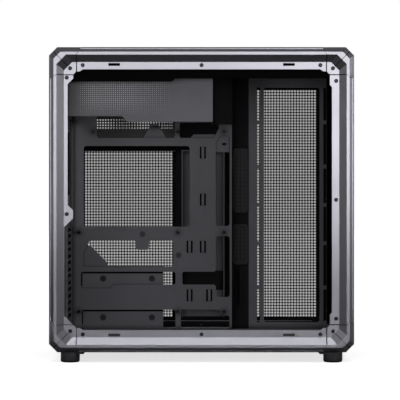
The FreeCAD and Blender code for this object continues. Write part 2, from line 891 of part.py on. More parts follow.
def rear_fan_middle():
    """The middle of the rear fan's holes, as Y and Z, beside the port window."""
    port_y = board_face + s.port_window_drop - s.port_window_width
    return port_y - s.rear_fan_size / 2 - s.slack, shroud_bottom - s.rear_fan_size / 2 - s.port_window_gap


def slot_middle(number):
    return board_z + s.slot_first_rise + s.slot_pitch * (number + 0.5)


def slot_screw_rise():
    return (s.slot_cover_width - s.screw_head_diameter) / 2 - s.slack


def slot_screw_x():
    return rear_out - s.slot_screw_inset


def build_slot_covers():
    tab_face = board_face - s.slot_tab_rise
    tab_near = tab_face - s.slot_cover_thickness
    inner = rear_in + s.slot_cover_thickness
    screws = []
    for number in range(int(float(s.slot_count))):
        label = f"slot_cover_{number + 1}"
        middle = slot_middle(number)
        low, high = middle - s.slot_cover_width / 2, middle + s.slot_cover_width / 2
        tail = s.slot_cover_tail / 2
        blade_end = tab_face + s.slot_shelf_strip + s.slot_length + s.slot_cover_overlap
        tail_start = blade_end + s.slot_cover_shoulder
        body = doc.addObject("PartDesign::Body", f"{label}_blade")
        outline = [(tab_near, low), (blade_end, low), (tail_start, middle - tail),
                   (board_face, middle - tail), (board_face, middle + tail), (tail_start, middle + tail),
                   (blade_end, high), (tab_near, high)]
        pad(body, f"{label}_sheet", "YZ_Plane", [outline], s.slot_cover_thickness)
        place(body, rear_in, 0, 0)
        tab = box(f"{label}_tab", (rear_out - s.slot_tab_length, tab_near, low), (inner, tab_face, high))
        z = middle + slot_screw_rise()
        hole = drilled(f"{label}_hole", (slot_screw_x(), tab_near, z),
                       s.screw_diameter / 2 + s.screw_clearance, s.slot_cover_thickness, "y")
        keep(cut(label, fuse(f"{label}_folded", [body, tab]), [hole]), label)
        screws.append(screw(f"slot_screw_{number + 1}", slot_screw_x(), tab_near, z, -1))
    keep(group("slot_screws", screws), "slot_screws")


def vented_sheet(label, low_z, rows):
    """A level sheet between the rear and front walls, with two rows of long vents."""
    body = doc.addObject("PartDesign::Body", label)
    pad(body, f"{label}_sheet", "XY_Plane", [rectangle(rear_in, front_in, near_in, far_in)], s.sheet)
    margin = s.cover_vent_margin
    span = (front_in - rear_in) / 2 - margin - s.panel_slot_rib
    low_y = opening_near + margin
    slots = [
        rectangle(rear_in + margin, rear_in + margin + span, low_y, low_y + s.cover_slot_height),
        rectangle(front_in - margin - span, front_in - margin, low_y, low_y + s.cover_slot_height),
    ]
    vents = pocket(body, f"{label}_vents", "XY_Plane", slots)
    repeat(body, f"{label}_vent_rows", vents, "V_Axis", s.cover_slot_pitch, rows)
    place(body, 0, 0, low_z)
    keep(body, label)


def build_walls():
    rows = count_that_fits(tray_face - opening_near - 2 * s.cover_vent_margin, s.cover_slot_pitch)
    vented_sheet("floor_panel", floor_out, rows)
    vented_sheet("ceiling_panel", ceiling_in, rows)
    keep(box("front_wall", (front_in, near_in, floor_out), (front_out, far_in, ceiling_out)), "front_wall")


# Tray and the pieces on it
def from_board(x, z, width, height):
    """A window measured from the board's rear lower corner."""
    return rectangle(board_x + x, board_x + x + width, board_z + z, board_z + z + height)


def anchor_places():
    """Cable tie anchors: their middles, as X and Z from the board's rear lower corner."""
    return [
        (s.anchor_middle_x, s.anchor_top_z),
        (s.anchor_middle_x, s.anchor_upper_z),
        (s.anchor_rear_x, s.anchor_lower_z),
        (s.anchor_middle_x, s.anchor_lower_z),
        (s.anchor_rear_x, s.anchor_low_z),
        (s.anchor_front_x, s.anchor_low_z),
    ]


def anchor_slits(x, z):
    """The two upright slits of an anchor, which leave a bridge between them."""
    half = s.anchor_width / 2
    return [from_board(x - half, z - s.anchor_height / 2, s.anchor_slit, s.anchor_height),
            from_board(x + half - s.anchor_slit, z - s.anchor_height / 2, s.anchor_slit, s.anchor_height)]


def supply_window():
    """The cut-out over the board, which widens behind the power supply bay."""
    low_x = board_x + s.upper_window_x
    high_x = low_x + s.upper_window_width
    low_z = board_z + s.upper_window_z
    step_z = low_z + s.upper_window_height
    rear_x = board_x + s.supply_window_x
    high_z = ceiling_in - s.supply_window_margin
    return [(low_x, low_z), (high_x, low_z), (high_x, high_z),
            (rear_x, high_z), (rear_x, step_z), (low_x, step_z)]


def card_window():
    """The cut-out behind the cards, with a slanted rear edge and a tab at its top."""
    low_x, low_z = board_x + s.card_window_x, board_z + s.card_window_z
    high_x, high_z = low_x + s.card_window_width, low_z + s.card_window_height
    tab_x = board_x + s.card_tab_x
    tab_end = tab_x + s.card_tab_width
    tab_low = high_z - s.card_tab_height
    return [(low_x, low_z), (high_x, low_z), (high_x, high_z), (tab_end, high_z), (tab_end, tab_low),
            (tab_x, tab_low), (tab_x, high_z), (low_x + s.card_window_cut_x, high_z),
            (low_x, high_z - s.card_window_cut_z)]


def build_tray():
    body = doc.addObject("PartDesign::Body", "motherboard_tray")
    pad(body, "tray_sheet", "XZ_Plane", [rectangle(rear_in, tray_front, floor_in, ceiling_in)], s.sheet)
    cooler = from_board(s.cooler_window_x, s.cooler_window_z, s.cooler_window_width, s.cooler_window_height)
    upper = supply_window()
    upper_front = from_board(s.upper_front_window_x, s.upper_window_z, s.upper_front_window_width,
                             s.upper_front_window_height)
    corner = upper_front[1]
    upper_front[1:2] = [(corner[0] - s.upper_front_cut_x, corner[1]),
                        (corner[0], corner[1] + s.upper_front_cut_z)]
    tall = from_board(s.side_window_x, s.side_window_z, s.side_window_width, s.side_window_height)
    corner = tall[3]
    tall[3:4] = [(corner[0] + s.side_window_cut_x, corner[1]),
                 (corner[0], corner[1] - s.side_window_cut_z)]
    cards = card_window()
    drives = from_board(s.drive_window_x, s.drive_window_z, s.drive_window_width, s.drive_window_height)
    corner = drives[0]
    step_end = corner[0] + s.drive_step_width
    step_low = corner[1] - s.drive_step_drop
    drives[0:1] = [(corner[0], step_low), (step_end, step_low), (step_end + s.drive_step_drop, corner[1])]
    floor = rectangle(board_x + s.floor_window_x, board_x + s.floor_window_x + s.floor_window_width,
                      floor_in + s.sheet, floor_in + s.floor_window_height)
    floor_front = rectangle(board_x + s.floor_front_window_x,
                            board_x + s.floor_front_window_x + s.floor_front_window_width,
                            floor_in + s.sheet, floor_in + s.floor_window_height)
    corner = floor_front[2]
    step_z = corner[1] - s.floor_front_step_drop
    step_x = corner[0] - s.floor_front_step_width
    floor_front[2:3] = [(corner[0], step_z), (step_x, step_z), (step_x, corner[1])]
    low_x = board_x + s.side_window_x
    low_end = low_x + s.side_window_width
    low_z = board_z + s.low_side_window_z
    link_z = board_z + s.drive_window_z
    link_top = link_z + s.drive_window_height
    bent = [(low_x, low_z), (low_end, low_z), (low_end, low_z + s.low_side_window_height),
            (low_x, low_z + s.low_side_window_height), (low_x, link_top),
            (board_x + s.link_window_x, link_top), (board_x + s.link_window_x, link_z), (low_x, link_z)]
    pocket(body, "tray_windows", "XZ_Plane",
           [cooler, upper, upper_front, tall, cards, drives, floor, floor_front, bent])
    low_edge, high_edge = float(floor_in), float(ceiling_in)
    rear_edge, front_edge = float(rear_in), float(tray_front)

    def is_window(middle):
        clear_x = min(abs(middle.x - rear_edge), abs(middle.x - front_edge)) > 1e-3
        clear_z = min(abs(middle.z - low_edge), abs(middle.z - high_edge)) > 1e-3
        return clear_x or clear_z

    round_corners(body, "tray_window_corners", s.window_rounding, FreeCAD.Vector(0, 1, 0), is_window)
    slits = [slit for x, z in anchor_places() for slit in anchor_slits(x, z)]
    pocket(body, "tray_anchors", "XZ_Plane", slits)
    place(body, 0, tray_back, 0)
    keep(body, "motherboard_tray")


def standoff_places():
    columns = [s.board_hole_inset_x, s.board_hole_inset_x + s.board_column,
               s.board_hole_inset_x + s.board_outer_column]
    low = s.board_hole_inset_z
    middle = low + s.board_row
    high = middle + s.board_upper_row
    places = [(x, z) for z in (low, middle) for x in columns]
    places += [(columns[0] + s.board_offset_hole, high), (columns[1], high), (columns[2], high)]
    return [(board_x + x, board_z + z) for x, z in places]


def build_standoffs():
    pillars = []
    for number, (x, z) in enumerate(standoff_places(), start=1):
        pillar = doc.addObject("Part::Prism", f"standoff_{number}_hex")
        pillar.Polygon = 6
        bind(pillar, Circumradius=s.standoff_across / 2, Height=s.standoff_height)
        start = tray_face - s.standoff_height
        place(pillar, x, start, z, TURN_TO_Y)
        bore = cylinder(f"standoff_{number}_bore", (x, start, z), s.screw_diameter / 2,
                        s.standoff_height, TURN_TO_Y)
        pillars.append(cut(f"standoff_{number}", pillar, [bore]))
    keep(group("standoffs", pillars), "standoffs")


def build_shroud():
    body = doc.addObject("PartDesign::Body", "shroud_face_body")
    step_x = rear_in + s.shroud_step_place
    outline = [(rear_in, shroud_bottom + s.shroud_step), (step_x, shroud_bottom + s.shroud_step),
               (step_x + s.shroud_step, shroud_bottom), (shroud_end, shroud_bottom),
               (shroud_end, ceiling_in), (rear_in, ceiling_in)]
    pad(body, "shroud_face_sheet", "XZ_Plane", [outline], s.sheet)
    first_x = rear_in + s.shroud_hole_start_x
    first_z = shroud_bottom + s.shroud_step + s.shroud_hole_start_z
    hole = rectangle(first_x, first_x + s.shroud_hole, first_z, first_z + s.shroud_hole)
    holes = pocket(body, "shroud_holes", "XZ_Plane", [hole])
    grid = repeat(body, "shroud_hole_grid", holes, "H_Axis", s.shroud_hole_pitch, s.shroud_hole_columns)
    grid.Direction2 = (holes.Profile[0], ["V_Axis"])
    grid.Occurrences2 = int(round(float(s.shroud_hole_rows)))
    bind(grid, Length2=s.shroud_hole_pitch * (s.shroud_hole_rows - 1))
    place(body, 0, shroud_face + s.sheet, 0)
    return_end = shroud_face + s.shroud_return
    side = box("shroud_return_sheet", (shroud_end - s.sheet, shroud_face, shroud_bottom),
               (shroud_end, return_end, ceiling_in))
    wing = box("shroud_wing_sheet", (shroud_end - s.sheet, return_end - s.sheet, shroud_bottom),
               (tray_front, return_end, ceiling_in))
    lip = box("shroud_lip_sheet", (step_x + s.shroud_step, shroud_face, shroud_bottom),
              (shroud_end, shroud_face + s.shroud_lip, shroud_bottom + s.sheet))
    keep(fuse("psu_shroud", [body, side, wing, lip]), "psu_shroud")


def build_skirt():
    """The dark strip that hangs from the ceiling just inside the open side."""
    low = ceiling_in - s.skirt_height
    step_x = rear_in + s.skirt_step_place
    body = doc.addObject("PartDesign::Body", "skirt_face_body")
    outline = [(rear_in, low), (step_x, low), (step_x + s.skirt_step, low + s.skirt_step),
               (front_in, low + s.skirt_step), (front_in, ceiling_in), (rear_in, ceiling_in)]
    pad(body, "skirt_sheet", "XZ_Plane", [outline], s.sheet)
    place(body, 0, near_in + s.sheet, 0)
    flange = box("skirt_flange_sheet", (rear_in, near_in, ceiling_in - s.sheet),
                 (front_in, near_in + s.skirt_flange, ceiling_in))
    holes = []
    for number, (x, z) in enumerate(screw_places(), start=1):
        if float(z) > float(low):
            holes.append(drilled(f"skirt_hole_{number}", (x, near_in, z),
                                 s.screw_diameter / 2 + s.screw_clearance, s.sheet, "y"))
    keep(cut("ceiling_skirt", fuse("skirt_folded", [body, flange]), holes), "ceiling_skirt")


# Front part of the case: channel, grommets and fan bracket
def grommet_windows():
    middle = (tray_front + s.sheet + bracket_rear) / 2
    low_x, high_x = middle - s.grommet_window_width / 2, middle + s.grommet_window_width / 2
    upper = floor_in + s.upper_grommet_z
    lower = floor_in + s.lower_grommet_z
    return {
        "upper_grommet": (low_x, high_x, upper, upper + s.upper_grommet_height),
        "lower_grommet": (low_x, high_x, lower, lower + s.lower_grommet_height),
    }


def build_channel():
    body = doc.addObject("PartDesign::Body", "channel_back_body")
    outline = rectangle(tray_front, bracket_rear, floor_in, ceiling_in)
    pad(body, "channel_sheet", "XZ_Plane", [outline], s.sheet)
    slot_x = tray_front + s.channel_slot_x
    slot_z = floor_in + s.channel_slot_z
    windows = [rectangle(*window) for window in grommet_windows().values()]
    windows.append(rectangle(slot_x, slot_x + s.channel_slot_width, slot_z, slot_z + s.channel_slot_height))
    pocket(body, "channel_windows", "XZ_Plane", windows)
    place(body, 0, bracket_back, 0)
    fold = box("channel_fold_sheet", (tray_front, tray_face, floor_in),
               (tray_front + s.sheet, bracket_back, ceiling_in))
    keep(fuse("cable_channel", [body, fold]), "cable_channel")


def build_grommets():
    for label, (low_x, high_x, low_z, high_z) in grommet_windows().items():
        lip, thick = s.grommet_lip, s.grommet_lip_thickness
        core = box(f"{label}_core", (low_x + s.slack, bracket_face, low_z + s.slack),
                   (high_x - s.slack, bracket_back, high_z - s.slack))
        front_lip = box(f"{label}_front_lip", (low_x - lip, bracket_face - thick, low_z - lip),
                        (high_x + lip, bracket_face, high_z + lip))
        back_lip = box(f"{label}_back_lip", (low_x - lip, bracket_back, low_z - lip),
                       (high_x + lip, bracket_back + thick, high_z + lip))
        middle = (low_x + high_x) / 2
        over = thick + s.cut_overrun
        slit = box(f"{label}_slit", (middle - s.grommet_slit / 2, bracket_face - over, low_z + lip),
                   (middle + s.grommet_slit / 2, bracket_back + over, high_z - lip))
        keep(cut(label, fuse(f"{label}_moulding", [front_lip, core, back_lip]), [slit]), label)


def build_bracket():
    body = doc.addObject("PartDesign::Body", "side_fan_bracket")
    pad(body, "bracket_sheet", "XZ_Plane", [rectangle(bracket_rear, front_in, floor_in, ceiling_in)], s.sheet)
    low_x = bracket_rear + s.bracket_window_x
    low_z = floor_in + s.bracket_window_z
    window = rectangle(low_x, low_x + s.bracket_window_width, low_z, low_z + s.bracket_window_height)
    pocket(body, "bracket_window", "XZ_Plane", [window])
    edges = [float(value) for value in (bracket_rear, front_in)]

    def is_window(middle):
        return min(abs(middle.x - edge) for edge in edges) > 1e-3

    round_corners(body, "bracket_window_corners", s.window_rounding, FreeCAD.Vector(0, 1, 0), is_window)
    middle = low_x + s.bracket_window_width / 2
    centre = low_z + s.bracket_window_height / 2
    half = s.bracket_window_height / 2
    bridges = [-s.bracket_outer_bridge, -s.bracket_inner_bridge, as_size(0),
               s.bracket_inner_bridge, s.bracket_outer_bridge]
    starts = [-half] + [bridge + s.bracket_slot_bridge / 2 for bridge in bridges]
    ends = [bridge - s.bracket_slot_bridge / 2 for bridge in bridges] + [half]
    loops = []
    for side in (-1, 1):
        x = middle + side * s.fan_hole_spacing / 2
        for start, end in zip(starts, ends):
            loops.append(rectangle(x - s.bracket_slot_width / 2, x + s.bracket_slot_width / 2,
                                   centre + start, centre + end))
    pocket(body, "bracket_slots", "XZ_Plane", loops)
    place(body, 0, bracket_back, 0)
    keep(body, "side_fan_bracket")


# Pieces behind the tray
def build_drive_plates():
    low_x = board_x + s.drive_plate_x
    high_x = low_x + s.drive_plate_width
    places = {
        "upper_drive_plate": (board_z + s.upper_drive_plate_z, s.upper_drive_hole_z),
        "lower_drive_plate": (floor_in, s.lower_drive_hole_z),
    }
    for label, (low_z, hole_z) in places.items():
        high_z = low_z + s.drive_plate_height
        face = box(f"{label}_face", (low_x, tray_back, low_z), (high_x, tray_back + s.sheet, high_z))
        flange = box(f"{label}_flange", (low_x, tray_back, high_z - s.sheet),
                     (high_x, tray_back + s.drive_flange, high_z))
        holes = []
        for number in range(2):
            x = low_x + s.drive_hole_x + number * s.drive_hole_spacing
            holes.append(drilled(f"{label}_hole_{number + 1}", (x, tray_back, low_z + hole_z),
                                 s.drive_hole_diameter / 2, s.sheet, "y"))
        folded = [face, flange]
        if label == "upper_drive_plate":
            folded.append(drive_gusset(low_x, high_z))
        keep(cut(label, fuse(f"{label}_folded", folded), holes), label)


def drive_gusset(low_x, low_z):
    """The slanted ear that rises from the upper drive plate at its rear end."""
    body = doc.addObject("PartDesign::Body", "drive_gusset_body")
    foot_z = low_z + s.gusset_foot
    high_z = low_z + s.gusset_height
    start = low_z - s.sheet
    outline = [(low_x, start), (low_x + s.gusset_width, start), (low_x + s.gusset_width, foot_z),
               (low_x + s.gusset_top_width, high_z), (low_x, high_z)]
    pad(body, "drive_gusset_sheet", "XZ_Plane", [outline], s.sheet)
    place(body, 0, tray_back + s.sheet, 0)
    return body


def build_cable_cover():
    low_x = board_x + s.cover_x
    high_x = low_x + s.cover_width
    low_z = board_z + s.cover_z
    high_z = low_z + s.cover_height
    back = tray_back + s.cover_depth
    face = box("cable_cover_face", (low_x, back - s.sheet, low_z), (high_x, back, high_z))
    rear_leg = box("cable_cover_rear_leg", (low_x, tray_back, low_z), (low_x + s.sheet, back, high_z))
    front_leg = box("cable_cover_front_leg", (high_x - s.sheet, tray_back, low_z), (high_x, back, high_z))
    lid = box("cable_cover_lid", (low_x, tray_back, high_z - s.sheet), (high_x, back, high_z))
    keep(fuse("cable_cover", [face, rear_leg, front_leg, lid, cover_tab(high_z)]), "cable_cover")


def cover_tab(cover_top):
    """The bent tab that holds the cable cover's upper end to the tray."""
    high_x = tray_front - s.cover_tab_inset
    low_x = high_x - s.cover_tab_width
    low_z = cover_top - s.cover_tab_low
    high_z = low_z + s.cover_tab_rise
    arm_x = low_x - s.cover_tab_arm
    arm_z = high_z - s.cover_tab_arm_height
    body = doc.addObject("PartDesign::Body", "cover_tab_body")
    outline = [(low_x, low_z), (high_x, low_z), (high_x, high_z), (arm_x + s.cover_tab_arm_height, high_z),
               (arm_x, arm_z), (low_x, arm_z)]
    pad(body, "cover_tab_sheet", "XZ_Plane", [outline], s.sheet)
    hole_x = high_x - s.cover_tab_hole_inset
    hole_z = low_z + s.cover_tab_hole_rise
    pocket(body, "cover_tab_hole", "XZ_Plane", [
        rectangle(hole_x - s.cover_tab_hole_width, hole_x, hole_z, hole_z + s.cover_tab_hole_height)])
    place(body, 0, tray_back + s.sheet, 0)
    return body


def build_beam():
    low_x = board_x + s.beam_x
    high_x = low_x + s.beam_width
    low_z = board_z + s.beam_z
    high_z = low_z + s.beam_height
    back = tray_back + s.beam_depth
    screen_top = high_z + s.screen_height
    body = doc.addObject("PartDesign::Body", "beam_screen_body")
    pad(body, "beam_screen_sheet", "XZ_Plane", [rectangle(low_x, high_x, low_z, screen_top)], s.sheet)
    first_x = low_x + s.screen_hole_pitch / 2
    first_z = high_z + s.screen_hole_pitch / 2
    hole = rectangle(first_x, first_x + s.screen_hole, first_z, first_z + s.screen_hole)
    holes = pocket(body, "beam_screen_holes", "XZ_Plane", [hole])
    grid = repeat(body, "beam_screen_grid", holes, "H_Axis", s.screen_hole_pitch, s.screen_columns)
    grid.Direction2 = (holes.Profile[0], ["V_Axis"])
    grid.Occurrences2 = int(round(float(s.screen_rows)))
    bind(grid, Length2=s.screen_hole_pitch * (s.screen_rows - 1))
    place(body, 0, back, 0)
    low_leg = box("beam_low_leg", (low_x, tray_back, low_z), (high_x, back, low_z + s.sheet))
    keep(fuse("tray_beam", [body, low_leg]), "tray_beam")


def build_supply_rest():
    """The tab that carries the front end of a power supply, on the face of the beam."""
    face = tray_back + s.beam_depth - s.sheet
    middle = board_x + s.rest_x
    half, top_half = s.rest_width / 2, s.rest_top_width / 2
    low_z = board_z + s.upper_window_z
    body = doc.addObject("PartDesign::Body", "supply_rest_body")
    outline = [(middle - half, low_z), (middle + half, low_z), (middle + top_half, shroud_bottom),
               (middle - top_half, shroud_bottom)]
    pad(body, "supply_rest_sheet", "XZ_Plane", [outline], s.sheet)
    place(body, 0, face, 0)
    shelf = box("supply_rest_shelf", (middle - top_half, face - s.rest_reach, shroud_bottom - s.sheet),
                (middle + top_half, face, shroud_bottom))
    keep(fuse("psu_rest", [body, shelf]), "psu_rest")


def build_right_panel():
    edge = ledge_start + s.slack
    cut_size = s.ledge_corner_cut
    left, right = edge - half_length, half_length - edge
    low, high = bottom + edge, top - edge
    outline = [(left + cut_size, low), (right - cut_size, low),
               (right, low + cut_size), (right, high - cut_size),
               (right - cut_size, high), (left + cut_size, high),
               (left, high - cut_size), (left, low + cut_size)]
    body = doc.addObject("PartDesign::Body", "right_panel_body")
    pad(body, "right_panel_sheet", "XZ_Plane", [outline], s.sheet)
    vent_low = floor_in + s.panel_vent_margin
    loops = []
    for start, width in panel_vents():
        slot = (width - s.panel_slot_rib) / 2
        for x in (start, start + slot + s.panel_slot_rib):
            loops.append(rectangle(x, x + slot, vent_low, vent_low + s.panel_slot_height))
    slots = pocket(body, "right_panel_slots", "XZ_Plane", loops)
    repeat(body, "right_panel_slot_rows", slots, "V_Axis", s.panel_slot_pitch,
           count_that_fits(s.panel_vent_height, s.panel_slot_pitch))
    face = far - s.bevel_depth
    place(body, 0, face + s.sheet, 0)
    holes = []
    for number, (x, z) in enumerate(screw_places(), start=1):
        holes.append(drilled(f"right_panel_hole_{number}", (x, face, z),
                             s.screw_diameter / 2 + s.screw_clearance, s.sheet, "y"))
    keep(cut("right_side_panel", body, holes), "right_side_panel")


def panel_vents():
    """The start and width of the right panel's two perforated fields."""
    rear_start = board_x + s.card_window_x - s.slack
    front_start = front_in - s.panel_vent_margin - s.panel_front_vent_width
    return [(rear_start, s.panel_rear_vent_width), (front_start, s.panel_front_vent_width)]


# Outer covers
def pan(label, role, outline, depth, hollow, hollow_depth, reverse):
    """A shallow tray-shaped cover, open towards the case."""
    body = doc.addObject("PartDesign::Body", label)
    pad(body, f"{label}_block", role, [outline], depth, reverse)
    recess = body.newObject("PartDesign::Pocket", f"{label}_hollow")
    recess.Profile = draw(body, f"{label}_hollow_outline", role, [hollow])
    recess.Reversed = not reverse
    bind(recess, Length=hollow_depth)
    return body


def build_front_panel():
    depth = s.rail_width - s.cover_setback
    low_y, high_y = opening_near + s.slack, opening_far - s.slack
    low_z, high_z = floor_out + s.slack, ceiling_out - s.slack
    wall_size = s.cover_wall
    outline = rectangle(low_y, high_y, low_z, high_z)
    hollow = rectangle(low_y + wall_size, high_y - wall_size, low_z + wall_size, high_z - wall_size)
    body = pan("front_panel", "YZ_Plane", outline, depth, hollow, depth - wall_size, False)
    margin = s.cover_vent_margin
    slot_low = low_z + margin
    slots = []
    for start in (low_y + margin, high_y - 2 * margin):
        slots.append(rectangle(start, start + margin, slot_low, slot_low + s.cover_slot_height))
    vents = pocket(body, "front_panel_vents", "YZ_Plane", slots)
    repeat(body, "front_panel_vent_rows", vents, "V_Axis", s.cover_slot_pitch,
           count_that_fits(high_z - low_z - 2 * margin, s.cover_slot_pitch))
    place(body, front_out, 0, 0)
    keep(body, "front_panel")


def block_box():
    """The connector block's low and high corners, as X and Y."""
    high_x = front_out - s.slack - s.cover_wall - s.block_front_gap
    return high_x - s.block_width, high_x, -s.block_length / 2, s.block_length / 2


def build_top_cover():
    depth = s.rail_width - s.cover_setback
    low_x, high_x = rear_out + s.slack, front_out - s.slack
    low_y, high_y = opening_near + s.slack, opening_far - s.slack
    wall_size = s.cover_wall
    outline = rectangle(low_x, high_x, low_y, high_y)
    hollow = rectangle(low_x + wall_size, high_x - wall_size, low_y + wall_size, high_y - wall_size)
    body = pan("top_cover", "XY_Plane", outline, depth, hollow, depth - wall_size, False)
    block = block_box()
    opening = rectangle(block[0] - s.slack, block[1] + s.slack, block[2] - s.slack, block[3] + s.slack)
    pocket(body, "top_cover_block_window", "XY_Plane", [opening])
    margin = s.cover_vent_margin
    vent_end = block[0] - margin
    span = (vent_end - low_x - margin - s.panel_slot_rib) / 2
    start_y = low_y + margin
    slots = []
    for start in (low_x + margin, vent_end - span):
        slots.append(rectangle(start, start + span, start_y, start_y + s.cover_slot_height))
    vents = pocket(body, "top_cover_vents", "XY_Plane", slots)
    repeat(body, "top_cover_vent_rows", vents, "V_Axis", s.cover_slot_pitch,
           count_that_fits(high_y - low_y - 2 * margin, s.cover_slot_pitch))
    place(body, 0, 0, ceiling_out)
    keep(body, "top_cover")


def build_bottom_filter():
    body = doc.addObject("PartDesign::Body", "bottom_filter")
    low_x, high_x = rear_out + s.slack, front_out - s.slack
    low_y, high_y = opening_near + s.slack, opening_far - s.slack
    pad(body, "filter_sheet", "XY_Plane", [rectangle(low_x, high_x, low_y, high_y)], s.filter_thickness)
    margin = s.filter_margin
    span = (high_x - low_x - 2 * margin - s.panel_slot_rib) / 2
    start_y = low_y + margin
    slots = []
    for start in (low_x + margin, high_x - margin - span):
        slots.append(rectangle(start, start + span, start_y, start_y + s.cover_slot_height))
    vents = pocket(body, "filter_vents", "XY_Plane", slots)
    repeat(body, "filter_vent_rows", vents, "V_Axis", s.cover_slot_pitch,
           count_that_fits(high_y - low_y - 2 * margin, s.cover_slot_pitch))
    place(body, 0, 0, floor_out - s.filter_thickness)
    keep(body, "bottom_filter")


# Front connector block and its button
def socket_places():
    """Each socket's name, middle along the block, length and width."""
    sockets = []
    for number in range(2):
        middle = s.wide_socket_place - number * s.wide_socket_pitch
        sockets.append((f"wide_socket_{number + 1}", middle, s.wide_socket_length, s.wide_socket_width))
    sockets.append(("small_socket", s.small_socket_place, s.small_socket_length, s.small_socket_width))
    return sockets


def build_connector_block():
    low_x, high_x, low_y, high_y = block_box()
    middle = (low_x + high_x) / 2
    block_top = top - s.cover_setback
    solid = box("connector_block_solid", (low_x, low_y, ceiling_out), (high_x, high_y, block_top))
    tools = []
    shells = []
    floor = block_top - s.socket_depth
    for name, place_y, length, width in socket_places():
        low = (middle - width / 2, place_y - length / 2, floor)
        high = (middle + width / 2, place_y + length / 2, block_top)
        tools.append(box(f"{name}_recess", low, (high[0], high[1], block_top + s.cut_overrun)))
        shells.append(socket_shell(name, low, high))
    jack_z = floor
    tools.append(cylinder("jack_recess", (middle, s.jack_place, jack_z), s.jack_diameter / 2,
                          s.socket_depth + s.cut_overrun))
    ring = cylinder("jack_ring", (middle, s.jack_place, jack_z), (s.jack_diameter - s.slack) / 2,
                    s.socket_depth)
    bore = cylinder("jack_bore_hole", (middle, s.jack_place, jack_z + s.socket_wall), s.jack_bore / 2,
                    s.socket_depth)
    shells.append(cut("jack_socket", ring, [bore]))
    button_low = block_top - s.button_lip - s.button_collar_thickness - s.button_travel - s.slack
    bore_radius = s.button_diameter / 2 + s.slack
    wide_radius = bore_radius + s.button_collar
    tools.append(cylinder("button_bore", (middle, s.button_place, button_low), bore_radius, s.rail_width))
    tools.append(cylinder("button_well", (middle, s.button_place, button_low - s.switch_height), wide_radius,
                          block_top - s.button_lip - button_low + s.switch_height))
    keep(cut("connector_block", solid, tools), "connector_block")
    keep(group("connector_sockets", shells), "connector_sockets")
    build_button(middle, block_top, button_low)


def socket_shell(name, low, high):
    """A socket's metal shell with its tongue."""
    gap, skin = s.slack / 2, s.socket_wall
    shell = box(f"{name}_shell", (low[0] + gap, low[1] + gap, low[2]),
                (high[0] - gap, high[1] - gap, high[2]))
    mouth = box(f"{name}_mouth", (low[0] + gap + skin, low[1] + gap + skin, low[2] + skin),
                (high[0] - gap - skin, high[1] - gap - skin, high[2] + s.cut_overrun))
    middle = (low[0] + high[0]) / 2
    thick = s.tongue_thickness / 2
    inset = gap + s.tongue_inset
    tongue = box(f"{name}_tongue", (middle - thick, low[1] + inset, low[2]),
                 (middle + thick, high[1] - inset, high[2] - s.tongue_drop))
    return fuse(name, [cut(f"{name}_hollow", shell, [mouth]), tongue])


def build_button(middle, block_top, button_low):
    start = button_low + s.button_travel
    collar_top = block_top - s.button_lip - s.slack
    radius = s.button_diameter / 2
    stem = cylinder("button_stem", (middle, s.button_place, start), radius,
                    block_top + s.button_proud - start)
    collar = cylinder("button_rim", (middle, s.button_place, start), radius + s.button_collar,
                      collar_top - start)
    keep(fuse("power_button", [stem, collar]), "power_button")
    half = s.switch_size / 2
    switch_low = button_low - s.switch_height
    switch = box("switch_body", (middle - half, s.button_place - half, switch_low),
                 (middle + half, s.button_place + half, button_low - s.slack))
    keep(switch, "power_switch")


build_side_frames()
build_cross_rails()
build_ledge_screws()
build_feet()
build_rear_panel()
build_slot_covers()
build_walls()
build_tray()
build_standoffs()
build_shroud()
build_skirt()
build_channel()
build_grommets()
build_bracket()
build_drive_plates()
build_cable_cover()
build_beam()
build_supply_rest()
build_right_panel()
build_front_panel()
build_top_cover()
build_bottom_filter()
build_connector_block()
doc.recompute()

for thing in doc.Objects:
    if "Invalid" in thing.State or "Error" in thing.State:
        raise RuntimeError(f"{thing.Label} could not be made: {thing.State}")
for piece in sub_parts:
    if piece.Shape.isNull() or not piece.Shape.isValid() or not piece.Shape.Solids:
        raise RuntimeError(f"{piece.Label} has no sound shape")
for piece in sub_parts:
    piece.Shape.exportStep(f"parts/{piece.Label}.step")
print(len(sub_parts), "sub-parts written")
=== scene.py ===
"""Looks of an open mid tower computer case: its finishes, fine perforation, small fittings and stage."""

